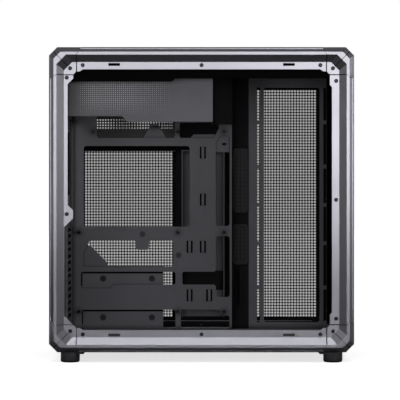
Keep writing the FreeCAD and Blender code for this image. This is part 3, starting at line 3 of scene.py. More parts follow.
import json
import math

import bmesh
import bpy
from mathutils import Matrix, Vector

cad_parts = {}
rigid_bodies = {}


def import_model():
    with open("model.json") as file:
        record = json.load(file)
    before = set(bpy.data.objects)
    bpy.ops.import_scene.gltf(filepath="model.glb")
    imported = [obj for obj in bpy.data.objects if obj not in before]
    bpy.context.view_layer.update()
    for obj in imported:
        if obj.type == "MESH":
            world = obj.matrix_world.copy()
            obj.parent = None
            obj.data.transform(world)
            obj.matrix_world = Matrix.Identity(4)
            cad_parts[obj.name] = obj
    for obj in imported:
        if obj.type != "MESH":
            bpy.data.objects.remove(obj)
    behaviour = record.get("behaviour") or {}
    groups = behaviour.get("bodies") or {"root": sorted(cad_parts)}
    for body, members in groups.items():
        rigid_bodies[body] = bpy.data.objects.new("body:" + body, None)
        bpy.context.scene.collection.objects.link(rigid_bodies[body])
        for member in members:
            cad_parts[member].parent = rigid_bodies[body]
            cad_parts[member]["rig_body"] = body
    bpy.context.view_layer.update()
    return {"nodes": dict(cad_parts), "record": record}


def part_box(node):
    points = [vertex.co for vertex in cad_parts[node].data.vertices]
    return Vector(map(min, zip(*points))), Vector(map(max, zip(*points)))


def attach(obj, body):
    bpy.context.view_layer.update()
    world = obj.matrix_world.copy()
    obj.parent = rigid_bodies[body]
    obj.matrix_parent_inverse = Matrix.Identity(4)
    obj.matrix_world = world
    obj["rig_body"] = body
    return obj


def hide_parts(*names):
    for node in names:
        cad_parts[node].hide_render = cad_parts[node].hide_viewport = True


bl_info = {
    "name": "Open Computer Case",
    "version": (1, 0, 0),
    "blender": (4, 5, 0),
    "location": "View3D > Sidebar > Case",
    "description": "Dresses the case's solids with finishes, perforated sheets, screws, feet and grommets",
    "category": "Object",
}

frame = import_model()
CASE = "case"
MM = 0.001
# Distances within which doubled points are joined, and within which two places count as one
WELD = 0.001 * MM
NEAR = 0.01 * MM
# Angles under which faces are joined to one, a mitre's steps are joined to one, and edges stay unrounded
FLAT_ANGLE = math.radians(0.5)
BEND_ANGLE = math.radians(1)
SHARP_ANGLE = math.radians(20)
# Least part of a normal along an axis for a face that looks along it
ALONG = 0.99
# Steps of a rounded edge, sides of a punched hole, and digits to which places are rounded before sorting
ROUNDING_STEPS = 2
HOLE_SIDES = 8
PLACE_DIGITS = 5


# Sizes and colours that a user would change
def length(name, description, default):
    return bpy.props.FloatProperty(name=name, description=description, default=default,
                                   unit="LENGTH", precision=5)


def colour(name, description, default):
    return bpy.props.FloatVectorProperty(name=name, description=description, default=default,
                                         subtype="COLOR", size=3, min=0.0, max=1.0)


def factor(name, description, default):
    return bpy.props.FloatProperty(name=name, description=description, default=default,
                                   subtype="FACTOR", min=0.0, max=1.0)


def watts(name, description, default):
    return bpy.props.FloatProperty(name=name, description=description, default=default, unit="POWER")


class CaseSizes(bpy.types.PropertyGroup):
    """Sizes of the fine detail"""
    edge_rounding: length("Edge rounding", "Rounding of the bars' and covers' edges", 0.50 * MM)
    seam: length("Seam", "Chamfer of the bars' ends where they meet the corner blocks", 0.90 * MM)
    panel_pitch: length("Panel pitch", "Distance between the right panel's holes", 4.52 * MM)
    panel_hole: length("Panel hole", "Diameter of the right panel's holes", 3.8 * MM)
    panel_rear_start: length("Rear field start", "Rear edge of the rear perforated field", -186.0 * MM)
    panel_front_start: length("Front field start", "Rear edge of the front perforated field", 74.5 * MM)
    panel_low: length("Field low edge", "Low edge of the panel's perforated fields", 53.5 * MM)
    panel_height: length("Field height", "Height of the panel's perforated fields", 363.0 * MM)
    panel_rear_width: length("Rear field width", "Width of the panel's rear perforated field", 143.0 * MM)
    panel_front_width: length("Front field width", "Width of the panel's front perforated field", 112.0 * MM)
    panel_corner: length("Panel corner", "How far the panel's corners are cut", 12.3 * MM)
    rear_vent: length("Rear vent", "Width and height of the net behind the rear vent", 96.0 * MM)
    rear_vent_y: length("Rear vent Y", "Middle of the rear vent from side to side", -43.0 * MM)
    rear_vent_z: length("Rear vent Z", "Middle of the rear vent above the floor", 295.3 * MM)
    port_near: length("Port window near edge", "Near edge of the rear port window", 17.2 * MM)
    port_low: length("Port window low edge", "Low edge of the rear port window", 200.45 * MM)
    port_width: length("Port window width", "Width of the rear port window", 44.45 * MM)
    port_height: length("Port window height", "Height of the rear port window", 158.75 * MM)
    port_lip: length("Port lip", "Depth of the lip round the rear port window", 2.6 * MM)
    supply_near: length("Supply window near edge", "Near edge of the rear supply window", -80.0 * MM)
    supply_low: length("Supply window low edge", "Low edge of the rear supply window", 362.3 * MM)
    supply_width: length("Supply window width", "Width of the rear supply window", 140.0 * MM)
    supply_height: length("Supply window height", "Height of the rear supply window", 75.2 * MM)
    supply_trim: length("Supply trim", "Width of the trim frame in the rear supply window", 9.0 * MM)
    ledge_thickness: length("Ledge thickness", "Thickness of the bars' ledges", 2.0 * MM)
    # Painted shade: the tape below is black strips on the far ledges where shade falls
    shade_tape_length: length("Tape length", "Length of the tape on the far bottom ledge", 380.0 * MM)
    shade_tape_low: length("Tape low edge", "Low edge of that tape", 37.2 * MM)
    shade_tape_high: length("Tape high edge", "High edge of that tape", 47.2 * MM)
    shade_tape_rear: length("Upright tape rear edge", "Rear edge of the tape on the far front ledge", 192.8 * MM)
    shade_tape_front: length("Upright tape front edge", "Front edge of the tape on the far front ledge", 203.2 * MM)
    shade_tape_top: length("Upright tape top", "Top of the tape on the far front ledge", 440.0 * MM)
    damper_x: length("Damper place", "First damper from the rear end of its drive plate", 34.6 * MM)
    damper_spacing: length("Damper spacing", "Distance between a drive plate's dampers", 76.6 * MM)
    upper_damper_z: length("Upper damper height", "Dampers above the low edge of the upper plate", 27.4 * MM)
    lower_damper_z: length("Lower damper height", "Dampers above the low edge of the lower plate", 18.8 * MM)
    shroud_pitch: length("Shroud pitch", "Distance between the shroud's holes", 3.06 * MM)
    shroud_hole: length("Shroud hole", "Largest diameter of the shroud's holes", 2.0 * MM)
    # Painted light: the pale net behind the shroud's holes makes them look lit from behind
    shroud_painted_light_depth: length("Shroud net depth", "Depth of the pale net behind the shroud's face", 0.35 * MM)
    shroud_length: length("Shroud length", "Length of the shroud's face from the rear wall", 220.2 * MM)
    shroud_step: length("Shroud step", "How far the shroud's rear end is cut up", 8.2 * MM)
    shroud_step_place: length("Shroud step place", "Distance of that step from the rear wall", 85.0 * MM)
    shroud_lip: length("Shroud lip", "Width of the lip under the shroud", 9.0 * MM)
    shroud_margin: length("Shroud margin", "Plain edge round the shroud's holes", 6.0 * MM)
    shroud_field_start: length("Shroud field start", "Rear end of the shroud's holes", -188.0 * MM)
    shroud_field_end: length("Shroud field end", "Front end of the shroud's holes", -40.0 * MM)
    shroud_fade_in: length("Fade in", "Length over which the holes grow from rear and below", 24.0 * MM)
    shroud_fade_out: length("Fade out", "Length over which the holes shrink towards the front", 80.0 * MM)
    sheet: length("Sheet", "Thickness of the sheet metal", 1.2 * MM)
    beam_height: length("Beam height", "Plain height of the beam under its screen", 34.8 * MM)
    cover_wall: length("Cover wall", "Wall of the front and top covers", 1.6 * MM)
    net_thickness: length("Net thickness", "Thickness of a dust net", 0.4 * MM)
    screw_head_height: length("Screw head height", "Height of the screws' heads", 1.8 * MM)
    screw_diameter: length("Screw diameter", "Diameter of the screws' shanks", 3.0 * MM)
    screen_pitch: length("Screen pitch", "Distance between the holes of the screen behind the tray", 4.2 * MM)
    screen_hole: length("Screen hole", "Diameter of the holes of the screen behind the tray", 2.7 * MM)
    finger_pitch: length("Finger pitch", "Distance between the cuts in the grommets' flaps", 6.0 * MM)
    mitre_rise: length("Mitre rise", "How far the corner blocks' mitre lines stand out", 0.10 * MM)
    # Painted shade: the foam below is black strips along shaded window edges, the beam and the fan bracket
    shade_seal_height: length("Seal height", "Height of the foam along the top of a drive window", 2.6 * MM)
    shade_seal_width: length("Seal width", "Width of the foam along the rear end of a drive window", 1.8 * MM)
    shade_seal_reach: length("Seal reach", "Length of the foam along the rear end of a drive window", 22.0 * MM)
    beam_shade_seal: length("Beam seal", "Height of the foam above the beam's low fold", 8.0 * MM)
    bracket_shade_seal: length("Bracket seal", "Width of the foam on the front edge of the fan bracket", 5.5 * MM)
    bracket_margin: length("Bracket seal margin", "Bare ends of the fan bracket beside that foam", 8.0 * MM)
    vent_margin: length("Vent margin", "Plain ends of the slot covers beside their vents", 14.0 * MM)
    vent_height: length("Vent height", "Height of a slot cover's two vents", 5.4 * MM)
    vent_spacing: length("Vent spacing", "Distance between a slot cover's two vents", 9.4 * MM)
    # Painted shade: the vents' dark lining stands for the shade inside them
    vent_shade_depth: length("Vent depth", "Thickness of the dark lining in the vents", 0.2 * MM)
    # Painted shade: the pad below is a black block on the cable cover where shade falls
    cover_shade_pad_low: length("Cover pad low edge", "Low edge of the foam on the cable cover", 98.0 * MM)
    cover_shade_pad_high: length("Cover pad high edge", "High edge of the foam on the cable cover", 128.0 * MM)
    # Painted shade: the tape at the far front corner is a black strip where shade falls
    shade_tape_corner_width: length("Corner tape width", "Width of the tape at the far front corner", 16.8 * MM)
    shade_tape_corner_height: length("Corner tape height", "Height of the tape at the far front corner", 5.8 * MM)
    net_gap: length("Net gap", "Gap between a dust net and the cover that it lies behind", 0.1 * MM)


class CaseFinishes(bpy.types.PropertyGroup):
    """Colours of the finishes"""
    frame_metal: colour("Frame", "Blasted and anodised bars and corner blocks", (0.400, 0.397, 0.440))
    cover_metal: colour("Covers", "Darker anodised front and top covers", (0.16, 0.16, 0.17))
    black_steel: colour("Sheet metal", "Black powder coat of the walls and the tray", (0.130, 0.128, 0.144))
    # Painted shade: near black for the ceiling's skirt, the front wall and the black strips, pads and linings
    # where shade falls; also the dark joints of the frame
    skirt_black: colour("Skirt", "Deep matt black of the skirt under the ceiling", (0.0015, 0.0015, 0.0017))
    # Painted shade: black that stands for the shadow on the beam behind the tray
    beam_black: colour("Beam", "Shaded black of the beam behind the tray", (0.035, 0.035, 0.038))
    # Painted shade: dull black for the shaded cable channel, the shroud's side flange, the far strips and the
    # block on the cable cover
    channel_black: colour("Channel", "Dull black of the cable channel", (0.010, 0.010, 0.011))
    panel_steel: colour("Right panel", "Dark powder coat of the right side panel", (0.011, 0.011, 0.014))
    grommet_rubber: colour("Grommets", "Matt black rubber", (0.022, 0.022, 0.024))
    foot_plastic: colour("Feet", "Satin black rubber", (0.050, 0.050, 0.055))
    dark_plastic: colour("Plastic", "Fine-textured black plastic", (0.022, 0.022, 0.024))
    screw_steel: colour("Screws", "Dark zinc plate", (0.05, 0.05, 0.055))
    standoff_steel: colour("Standoffs", "Black zinc plate", (0.06, 0.06, 0.065))
    socket_steel: colour("Sockets", "Bright nickel plate", (0.55, 0.55, 0.57))
    button_metal: colour("Button", "Turned and anodised power button", (0.22, 0.22, 0.24))
    dust_net: colour("Dust nets", "Dark threads of the dust nets", (0.020, 0.020, 0.026))
    # Painted light: a pale net that makes the shroud's holes look lit from behind
    shroud_net: colour("Shroud net", "Pale net behind the shroud's holes", (0.70, 0.70, 0.72))
    panel_net_cover: factor("Panel net cover", "Share of light that each face of a panel net stops", 0.41)
    frame_roughness: factor("Frame roughness", "Roughness of the anodised bars", 0.36)
    cover_roughness: factor("Cover roughness", "Roughness of the anodised covers", 0.42)


class CaseStage(bpy.types.PropertyGroup):
    """Floor, light and camera"""
    floor_colour: colour("Floor", "Colour of the floor", (0.80, 0.80, 0.80))
    floor_bounce: colour("Floor bounce", "Colour of the floor for light that it bounces", (0.12, 0.12, 0.12))
    floor_white: factor("Floor white", "White that the camera sees in the floor beside its own shading", 0.88)
    world_level: factor("World level", "Grey level of the light from all round", 0.12)
    front_watts: watts("Front box", "Power of the broad box in front", 0.38)
    high_watts: watts("High box", "Power of the box in front that lights the upper half", 0.28)
    left_watts: watts("Left box", "Power of the box in front on the rear side", 0.14)
    right_watts: watts("Right box", "Power of the box in front on the front side", 0.28)
    rim_watts: watts("Rim box", "Power of the small box that lights the right bar", 0.062)
    low_watts: watts("Low box", "Power of the slim box that lights the bottom bar", 0.018)
    strip_watts: watts("Strip", "Power of the strip over the bottom bar", 0.21)
    front_end_watts: watts("Front end lamp", "Power of the lamp beside the front end", 0.60)
    rear_end_watts: watts("Rear end lamp", "Power of the lamp beside the rear end", 1.20)
    camera_place: bpy.props.FloatVectorProperty(name="Camera place", description="Where the camera stands",
                                                default=(-0.00229, -2.934, 0.2396),
                                                subtype="XYZ", unit="LENGTH")
    camera_lens: bpy.props.FloatProperty(name="Lens", description="Focal length in millimetres",
                                         default=172.1)


# Shader maths
class Value:
    """An output socket of a finish; arithmetic on it adds Math nodes."""

    def __init__(self, finish, socket):
        self.finish = finish
        self.socket = socket

    def joined(self, operation, first, second):
        return self.finish.add("ShaderNodeMath", {"operation": operation}, {0: first, 1: second})

    def __add__(self, other):
        return self.joined("ADD", self, other)

    def __radd__(self, other):
        return self.joined("ADD", other, self)

    def __mul__(self, other):
        return self.joined("MULTIPLY", self, other)

    def __rmul__(self, other):
        return self.joined("MULTIPLY", other, self)


class Finish:
    """A set of shader nodes on a material or the world."""

    def __init__(self, tree):
        self.tree = tree
        tree.nodes.clear()

    def add(self, kind, settings=None, sockets=None, output=0):
        """A node of one kind: its settings are set first, then its sockets' values or links."""
        node = self.tree.nodes.new(kind)
        for key, value in (settings or {}).items():
            setattr(node, key, value)
        for key, value in (sockets or {}).items():
            if isinstance(value, Value):
                self.tree.links.new(value.socket, node.inputs[key])
            else:
                node.inputs[key].default_value = value
        if not node.outputs:
            return None
        return Value(self, node.outputs[output])

    def noise(self, scale, detail):
        """Soft noise of a scale, in patches for each metre."""
        place = self.add("ShaderNodeTexCoord", output="Object")
        return self.add("ShaderNodeTexNoise", None, {"Vector": place, "Scale": scale, "Detail": detail})

    def cells(self, scale):
        """Distance inside small rounded cells, in cells for each metre."""
        place = self.add("ShaderNodeTexCoord", output="Object")
        return self.add("ShaderNodeTexVoronoi", {"feature": "SMOOTH_F1"}, {"Vector": place, "Scale": scale})

    def tint(self, amount, dark, light):
        """A colour between two others, each of them fixed or made by nodes."""
        first, second = (end if isinstance(end, Value) else (*end, 1.0) for end in (dark, light))
        return self.add("ShaderNodeMix", {"data_type": "RGBA"},
                        {"Factor": amount, 6: first, 7: second}, output=2)

    def hollow_shade(self, distance):
        """Painted shade from ambient occlusion: 1 on open faces, less in corners and narrow gaps."""
        return self.add("ShaderNodeAmbientOcclusion", {"samples": 8}, {"Distance": distance}, output="AO")

    def bump(self, height, distance, strength):
        """A bumped normal from a height, at a depth."""
        return self.add("ShaderNodeBump", None,
                        {"Height": height, "Distance": distance, "Strength": strength})

    def surface(self, sockets):
        """The material's surface, from the sockets of one Principled node."""
        shader = self.add("ShaderNodeBsdfPrincipled", None, sockets)
        self.add("ShaderNodeOutputMaterial", None, {"Surface": shader})


def shade(base, share):
    """A colour made darker or lighter by a share."""
    return tuple(min(1.0, channel * share) for channel in base)


MATERIALS = {}


def material(name, paint):
    """A material of one name, made once by its paint function."""
    if name not in MATERIALS:
        made = bpy.data.materials.new(name)
        made.use_nodes = True
        paint(Finish(made.node_tree))
        MATERIALS[name] = made
    return MATERIALS[name]


# Finishes
def blasted_metal(base, roughness):
    """Anodised aluminium: fine blasted grain and faint cloudiness."""
    def paint(finish):
        cloud = finish.noise(scale=22.0, detail=3.0)
        grain = finish.noise(scale=2600.0, detail=2.0)
        mixed = cloud * 0.55 + grain * 0.45
        finish.surface({
            "Base Color": finish.tint(mixed, shade(base, 0.86), shade(base, 1.14)),
            "Metallic": 1.0,
            "Roughness": cloud * 0.08 + grain * 0.06 + (roughness - 0.07),
            "Normal": finish.bump(grain, distance=0.03 * MM, strength=0.35),
        })
    return paint


def powder_coat(base, roughness=0.6, specular=0.3):
    """Powder-coated steel: small rounded grains, with a few lighter specks, and painted shade that darkens
    corners, gaps and recesses.
    """
    def paint(finish):
        grains = finish.cells(scale=1500.0)
        cloud = finish.noise(scale=30.0, detail=4.0)
        peel = finish.noise(scale=700.0, detail=2.0)
        coat = finish.tint(grains * 0.5 + cloud * 0.5, shade(base, 0.72), shade(base, 1.3))
        unshaded_share = finish.hollow_shade(distance=9.0 * MM)
        finish.surface({
            # Painted shade: the colour falls towards near black in corners, gaps and recesses
            "Base Color": finish.tint(unshaded_share * unshaded_share, shade(base, 0.04), coat),
            "Roughness": cloud * 0.10 + grains * 0.10 + (roughness - 0.1),
            "Normal": finish.bump(grains * 0.6 + peel * 0.4, distance=0.06 * MM, strength=0.5),
            "Specular IOR Level": specular,
        })
    return paint


def soft_rubber(base, roughness=0.56, specular=0.35):
    """Moulded rubber: matt, with a faint skin texture, dust-grey patches, and painted shade that darkens
    corners and gaps.
    """
    def paint(finish):
        skin = finish.noise(scale=1900.0, detail=3.0)
        cloud = finish.noise(scale=60.0, detail=3.0)
        skin_colour = finish.tint(cloud * 0.6 + skin * 0.4, shade(base, 0.75), shade(base, 1.5))
        unshaded_share = finish.hollow_shade(distance=5.0 * MM)
        finish.surface({
            # Painted shade: the colour falls towards near black in corners and gaps
            "Base Color": finish.tint(unshaded_share * unshaded_share, shade(base, 0.1), skin_colour),
            "Roughness": skin * 0.16 + roughness,
            "Normal": finish.bump(skin, distance=0.05 * MM, strength=0.4),
            "Specular IOR Level": specular,
        })
    return paint


def moulded_plastic(base):
    """Plastic with a fine spark-eroded texture."""
    def paint(finish):
        texture = finish.cells(scale=2200.0)
        cloud = finish.noise(scale=45.0, detail=3.0)
        finish.surface({
            "Base Color": finish.tint(texture * 0.6 + cloud * 0.4, shade(base, 0.75), shade(base, 1.3)),
            "Roughness": texture * 0.15 + 0.42,
            "Normal": finish.bump(texture, distance=0.04 * MM, strength=0.45),
        })
    return paint


def plated_steel(base, roughness):
    """Zinc or nickel plate: smooth, with a faint brushed grain and cloudiness."""
    def paint(finish):
        cloud = finish.noise(scale=160.0, detail=3.0)
        grain = finish.noise(scale=4200.0, detail=2.0)
        finish.surface({
            "Base Color": finish.tint(cloud * 0.7 + grain * 0.3, shade(base, 0.75), shade(base, 1.25)),
            "Metallic": 1.0,
            "Roughness": cloud * 0.12 + grain * 0.05 + (roughness - 0.08),
            "Normal": finish.bump(grain, distance=0.02 * MM, strength=0.25),
        })
    return paint


def woven_net(base, cover):
    """Dust net: fine crossed threads that stand up from dark gaps and cover a share of what lies behind."""
    def paint(finish):
        place = finish.add("ShaderNodeTexCoord", output="Object")
        threads = []
        for direction in ("X", "Y", "Z"):
            wave = finish.add("ShaderNodeTexWave", {"bands_direction": direction, "wave_profile": "SIN"},
                              {"Vector": place, "Scale": 260.0})
            threads.append(wave)
        weave = threads[0] * 0.4 + threads[1] * 0.4 + threads[2] * 0.2
        finish.surface({
            "Base Color": finish.tint(weave, shade(base, 0.35), shade(base, 1.5)),
            "Alpha": cover,
            "Roughness": weave * 0.2 + 0.5,
            "Normal": finish.bump(weave, distance=0.15 * MM, strength=0.7),
            "Specular IOR Level": 0.0,
        })
    return paint


def finish_of(slot):
    """The material of one of the record's slots."""
    colours = bpy.context.scene.case_finishes
    paints = {
        "frame_metal": blasted_metal(colours.frame_metal, colours.frame_roughness),
        "cover_metal": blasted_metal(colours.cover_metal, colours.cover_roughness),
        "black_steel": powder_coat(colours.black_steel),
        "panel_steel": powder_coat(colours.panel_steel, roughness=0.75, specular=0.15),
        "dust_net": woven_net(colours.dust_net, cover=1.0),
        "panel_net": woven_net(colours.dust_net, colours.panel_net_cover),
        "shroud_net": woven_net(colours.shroud_net, cover=1.0),
        "skirt_black": powder_coat(colours.skirt_black, roughness=0.9, specular=0.05),
        "beam_black": powder_coat(colours.beam_black),
        "channel_black": powder_coat(colours.channel_black, roughness=0.8, specular=0.15),
        "grommet_rubber": soft_rubber(colours.grommet_rubber),
        "foot_plastic": soft_rubber(colours.foot_plastic, roughness=0.30, specular=0.5),
        "dark_plastic": moulded_plastic(colours.dark_plastic),
        "screw_steel": plated_steel(colours.screw_steel, roughness=0.36),
        "standoff_steel": plated_steel(colours.standoff_steel, roughness=0.38),
        "socket_steel": plated_steel(colours.socket_steel, roughness=0.25),
        "button_metal": blasted_metal(colours.button_metal, roughness=0.32),
    }
    return material(slot, paints[slot])


SLOTS = {row["node"]: row["material_slot"] for row in frame["record"]["subparts"]}
# Painted shade: the ceiling's skirt, the cable channel and the front wall get black finishes that stand for
# the shade on them
OWN_FINISHES = {"ceiling_skirt": "skirt_black", "cable_channel": "channel_black", "front_wall": "skirt_black"}


# Meshes
def new_piece(name, mesh, slot, body=CASE, nodes=(), finish=None):
    """A finished piece: its mesh, slot, body, the solids it stands for, and a finish if not the slot's."""
    piece = bpy.data.objects.new(name, mesh)
    bpy.context.scene.collection.objects.link(piece)
    mesh.materials.clear()
    mesh.materials.append(finish_of(finish or slot))
    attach(piece, body)
    if nodes:
        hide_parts(*nodes)
    return piece


def welded(node):
    """A solid's mesh for editing, with its doubled points joined."""
    mesh = bmesh.new()
    mesh.from_mesh(frame["nodes"][node].data)
    bmesh.ops.remove_doubles(mesh, verts=mesh.verts, dist=WELD)
    return mesh


def long_axis(low, high):
    """The number of the axis along which a box is longest."""
    return max(range(3), key=lambda index: high[index] - low[index])


def islands(node):
    """The lowest and highest corners of each separate solid of a node, lowest X first."""
    mesh = welded(node)
    left = set(mesh.verts)
    boxes = []
    while left:
        group = [left.pop()]
        corners = []
        while group:
            vertex = group.pop()
            corners.append(vertex.co.copy())
            for edge in vertex.link_edges:
                other = edge.other_vert(vertex)
                if other in left:
                    left.remove(other)
                    group.append(other)
        low = Vector([min(corner[axis] for corner in corners) for axis in range(3)])
        high = Vector([max(corner[axis] for corner in corners) for axis in range(3)])
        boxes.append((low, high))
    mesh.free()
    return sorted(boxes, key=lambda pair: [round(pair[0][axis], PLACE_DIGITS) for axis in (0, 2, 1)])


def softened(node, rounding, seam):
    """A copy of a solid with its edges slightly rounded, and a bar's ends more, which stands for it."""
    mesh = welded(node)
    bmesh.ops.dissolve_limit(mesh, angle_limit=FLAT_ANGLE, verts=mesh.verts, edges=mesh.edges)
    mesh.normal_update()
    axis = long_axis(*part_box(node))
    weights = mesh.edges.layers.float.new("bevel_weight_edge")
    for edge in mesh.edges:
        if len(edge.link_faces) != 2 or edge.calc_face_angle() < SHARP_ANGLE:
            continue
        at_end = any(abs(face.normal[axis]) > ALONG for face in edge.link_faces)
        edge[weights] = 1.0 if at_end and node.endswith(("_rail", "_post")) else rounding / seam
    copy = bpy.data.meshes.new(f"{node}_rounded")
    mesh.to_mesh(copy)
    mesh.free()
    piece = new_piece(f"{node}_rounded", copy, SLOTS[node], frame["nodes"][node]["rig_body"], (node,))
    bevel = piece.modifiers.new("rounding", "BEVEL")
    bevel.width = seam
    bevel.segments = ROUNDING_STEPS
    bevel.limit_method = "WEIGHT"
    return piece


class Builder:
    """Collects points and faces of one mesh."""

    def __init__(self):
        self.points = []
        self.faces = []

    def point(self, x, y, z):
        self.points.append((x, y, z))
        return len(self.points) - 1

    def ring(self, corners):
        return [self.point(*corner) for corner in corners]

    def face(self, corners):
        self.faces.append(list(corners))

    def closed_loop(self, rings):
        """Faces between rings in turn, with the last joined to the first."""
        for first, second in zip(rings, rings[1:] + rings[:1]):
            self.wall(first, second)

    def wall(self, first, second):
        """Faces between two rings of as many points."""
        count = len(first)
        for index in range(count):
            after = (index + 1) % count
            self.face((first[index], first[after], second[after], second[index]))

    def block(self, low, high):
        """A closed box between two corners."""
        bottom = self.ring([(low[0], low[1], low[2]), (high[0], low[1], low[2]),
                            (high[0], high[1], low[2]), (low[0], high[1], low[2])])
        upper = self.ring([(low[0], low[1], high[2]), (high[0], low[1], high[2]),
                           (high[0], high[1], high[2]), (low[0], high[1], high[2])])
        self.wall(bottom, upper)
        self.face(reversed(bottom))
        self.face(upper)

    def thicken(self, thickness):
        """Turn the flat faces so far into a closed sheet, thicker towards +Y."""
        count = len(self.points)
        edges = {}
        for corners in self.faces:
            for first, second in zip(corners, corners[1:] + corners[:1]):
                edges[(first, second)] = True
        backs = [[corner + count for corner in reversed(corners)] for corners in self.faces]
        self.points += [(x, y + thickness, z) for x, y, z in self.points]
        self.faces += backs
        for first, second in edges:
            if (second, first) not in edges:
                self.face((second, first, first + count, second + count))

    def mesh(self, name, smooth_angle=None):
        """A mesh of the faces so far, smooth where they meet at less than an angle in degrees."""
        made = bpy.data.meshes.new(name)
        made.from_pydata(self.points, [], self.faces)
        work = bmesh.new()
        work.from_mesh(made)
        bmesh.ops.recalc_face_normals(work, faces=work.faces)
        work.to_mesh(made)
        work.free()
        if smooth_angle is not None:
            for face in made.polygons:
                face.use_smooth = True
            made.set_sharp_from_angle(angle=math.radians(smooth_angle))
        return made

    def piece(self, name, slot, smooth_angle=None, nodes=(), finish=None):
        """The finished piece of one name, made from the faces so far."""
        return new_piece(name, self.mesh(name, smooth_angle), slot, nodes=nodes, finish=finish)


def punched_cell(build, corners, middle, radius, depth):
    """One square cell of a sheet with a round hole, or none where the radius is 0."""
    if radius <= 0:
        build.face(corners)
        return
    turn = 2 * math.pi / HOLE_SIDES
    rim = []
    for index in range(HOLE_SIDES):
        angle = turn * (index + 0.5) - math.pi * 3 / 4 - turn
        x, z = middle[0] + radius * math.cos(angle), middle[1] + radius * math.sin(angle)
        rim.append(build.point(x, depth, z))
    for side in range(4):
        after = (side + 1) % 4
        first, second = rim[2 * side + 1], rim[(2 * side + 2) % HOLE_SIDES]
        build.face((corners[side], corners[after], second, first))
        build.face((corners[side], first, rim[2 * side]))


class Field:
    """A grid of holes in a sheet: its start, pitch and counts, and each hole's radius."""

    def __init__(self, start_x, start_z, pitch, columns, rows, radius):
        self.start_x = start_x
        self.start_z = start_z
        self.pitch = pitch
        self.columns = columns
        self.rows = rows
        self.radius = radius

    def fill(self, build, depth):
        """Add the cells, and keep the points along the grid's four edges."""
        grid = []
        for row in range(self.rows + 1):
            z = self.start_z + row * self.pitch
            grid.append([build.point(self.start_x + column * self.pitch, depth, z)
                         for column in range(self.columns + 1)])
        for row in range(self.rows):
            for column in range(self.columns):
                corners = (grid[row][column], grid[row][column + 1], grid[row + 1][column + 1],
                           grid[row + 1][column])
                middle = (self.start_x + (column + 0.5) * self.pitch, self.start_z + (row + 0.5) * self.pitch)
                punched_cell(build, corners, middle, self.radius(*middle), depth)
        self.low = grid[0]
        self.high = grid[-1]
        self.rear = [line[0] for line in grid]
        self.front = [line[-1] for line in grid]


def punched_sheet(build, fields, lower, upper, depth):
    """A flat sheet round fields in one row. Lower and upper are the outline's points, rear to front."""
    for field in fields:
        field.fill(build, depth)
    low_z = fields[0].start_z
    high_z = low_z + fields[0].rows * fields[0].pitch
    below = [build.point(x, depth, z) for x, z in lower]
    above = [build.point(x, depth, z) for x, z in upper]
    rear_low = build.point(lower[0][0], depth, low_z)
    front_low = build.point(lower[-1][0], depth, low_z)
    rear_high = build.point(upper[0][0], depth, high_z)
    front_high = build.point(upper[-1][0], depth, high_z)
    low_line = [point for field in fields for point in field.low]
    high_line = [point for field in fields for point in field.high]
    build.face(below + [front_low] + low_line[::-1] + [rear_low])
    build.face([rear_high] + high_line + [front_high] + above[::-1])
    edges = [[rear_low, rear_high]]
    for field in fields:
        edges += [field.rear, field.front]
    edges.append([front_low, front_high])
    for first, second in zip(edges[0::2], edges[1::2]):
        build.face(first[::-1] + second)


def ring_at(build, middle, radius, depth, sides, turn=0.0):
    """A ring of points round an axis along Y."""
    corners = []
    for index in range(sides):
        angle = turn + 2 * math.pi * index / sides
        corners.append((middle[0] + radius * math.cos(angle), depth, middle[1] + radius * math.sin(angle)))
    return build.ring(corners)


def capped(build, rings):
    """Walls between rings in turn, closed at both ends."""
    for first, second in zip(rings, rings[1:]):
        build.wall(first, second)
    build.face(rings[0][::-1])
    build.face(rings[-1])


def rounded_rectangle(low, high, radius, steps, depth):
    """Points round a rectangle in the XZ plane with rounded corners."""
    points = []
    middles = [(high[0] - radius, high[1] - radius), (low[0] + radius, high[1] - radius),
               (low[0] + radius, low[1] + radius), (high[0] - radius, low[1] + radius)]
    for corner, (x, z) in enumerate(middles):
        for step in range(steps + 1):
            angle = math.pi / 2 * (corner + step / steps)
            points.append((x + radius * math.cos(angle), depth, z + radius * math.sin(angle)))
    return points


def turned(build, profile, middle, sides):
    """A round body from a profile of radius and height, closed at both ends."""
    rings = []
    for radius, height in profile:
        ring = []
        for index in range(sides):
            angle = 2 * math.pi * index / sides
            ring.append((middle[0] + radius * math.cos(angle), middle[1] + radius * math.sin(angle), height))
        rings.append(build.ring(ring))
    capped(build, rings)


def block_piece(name, blocks, slot, finish=None):
    """A piece of plain blocks, each given by its lowest and highest corners."""
    build = Builder()
    for low, high in blocks:
        build.block(low, high)
    return build.piece(name, slot, finish=finish)


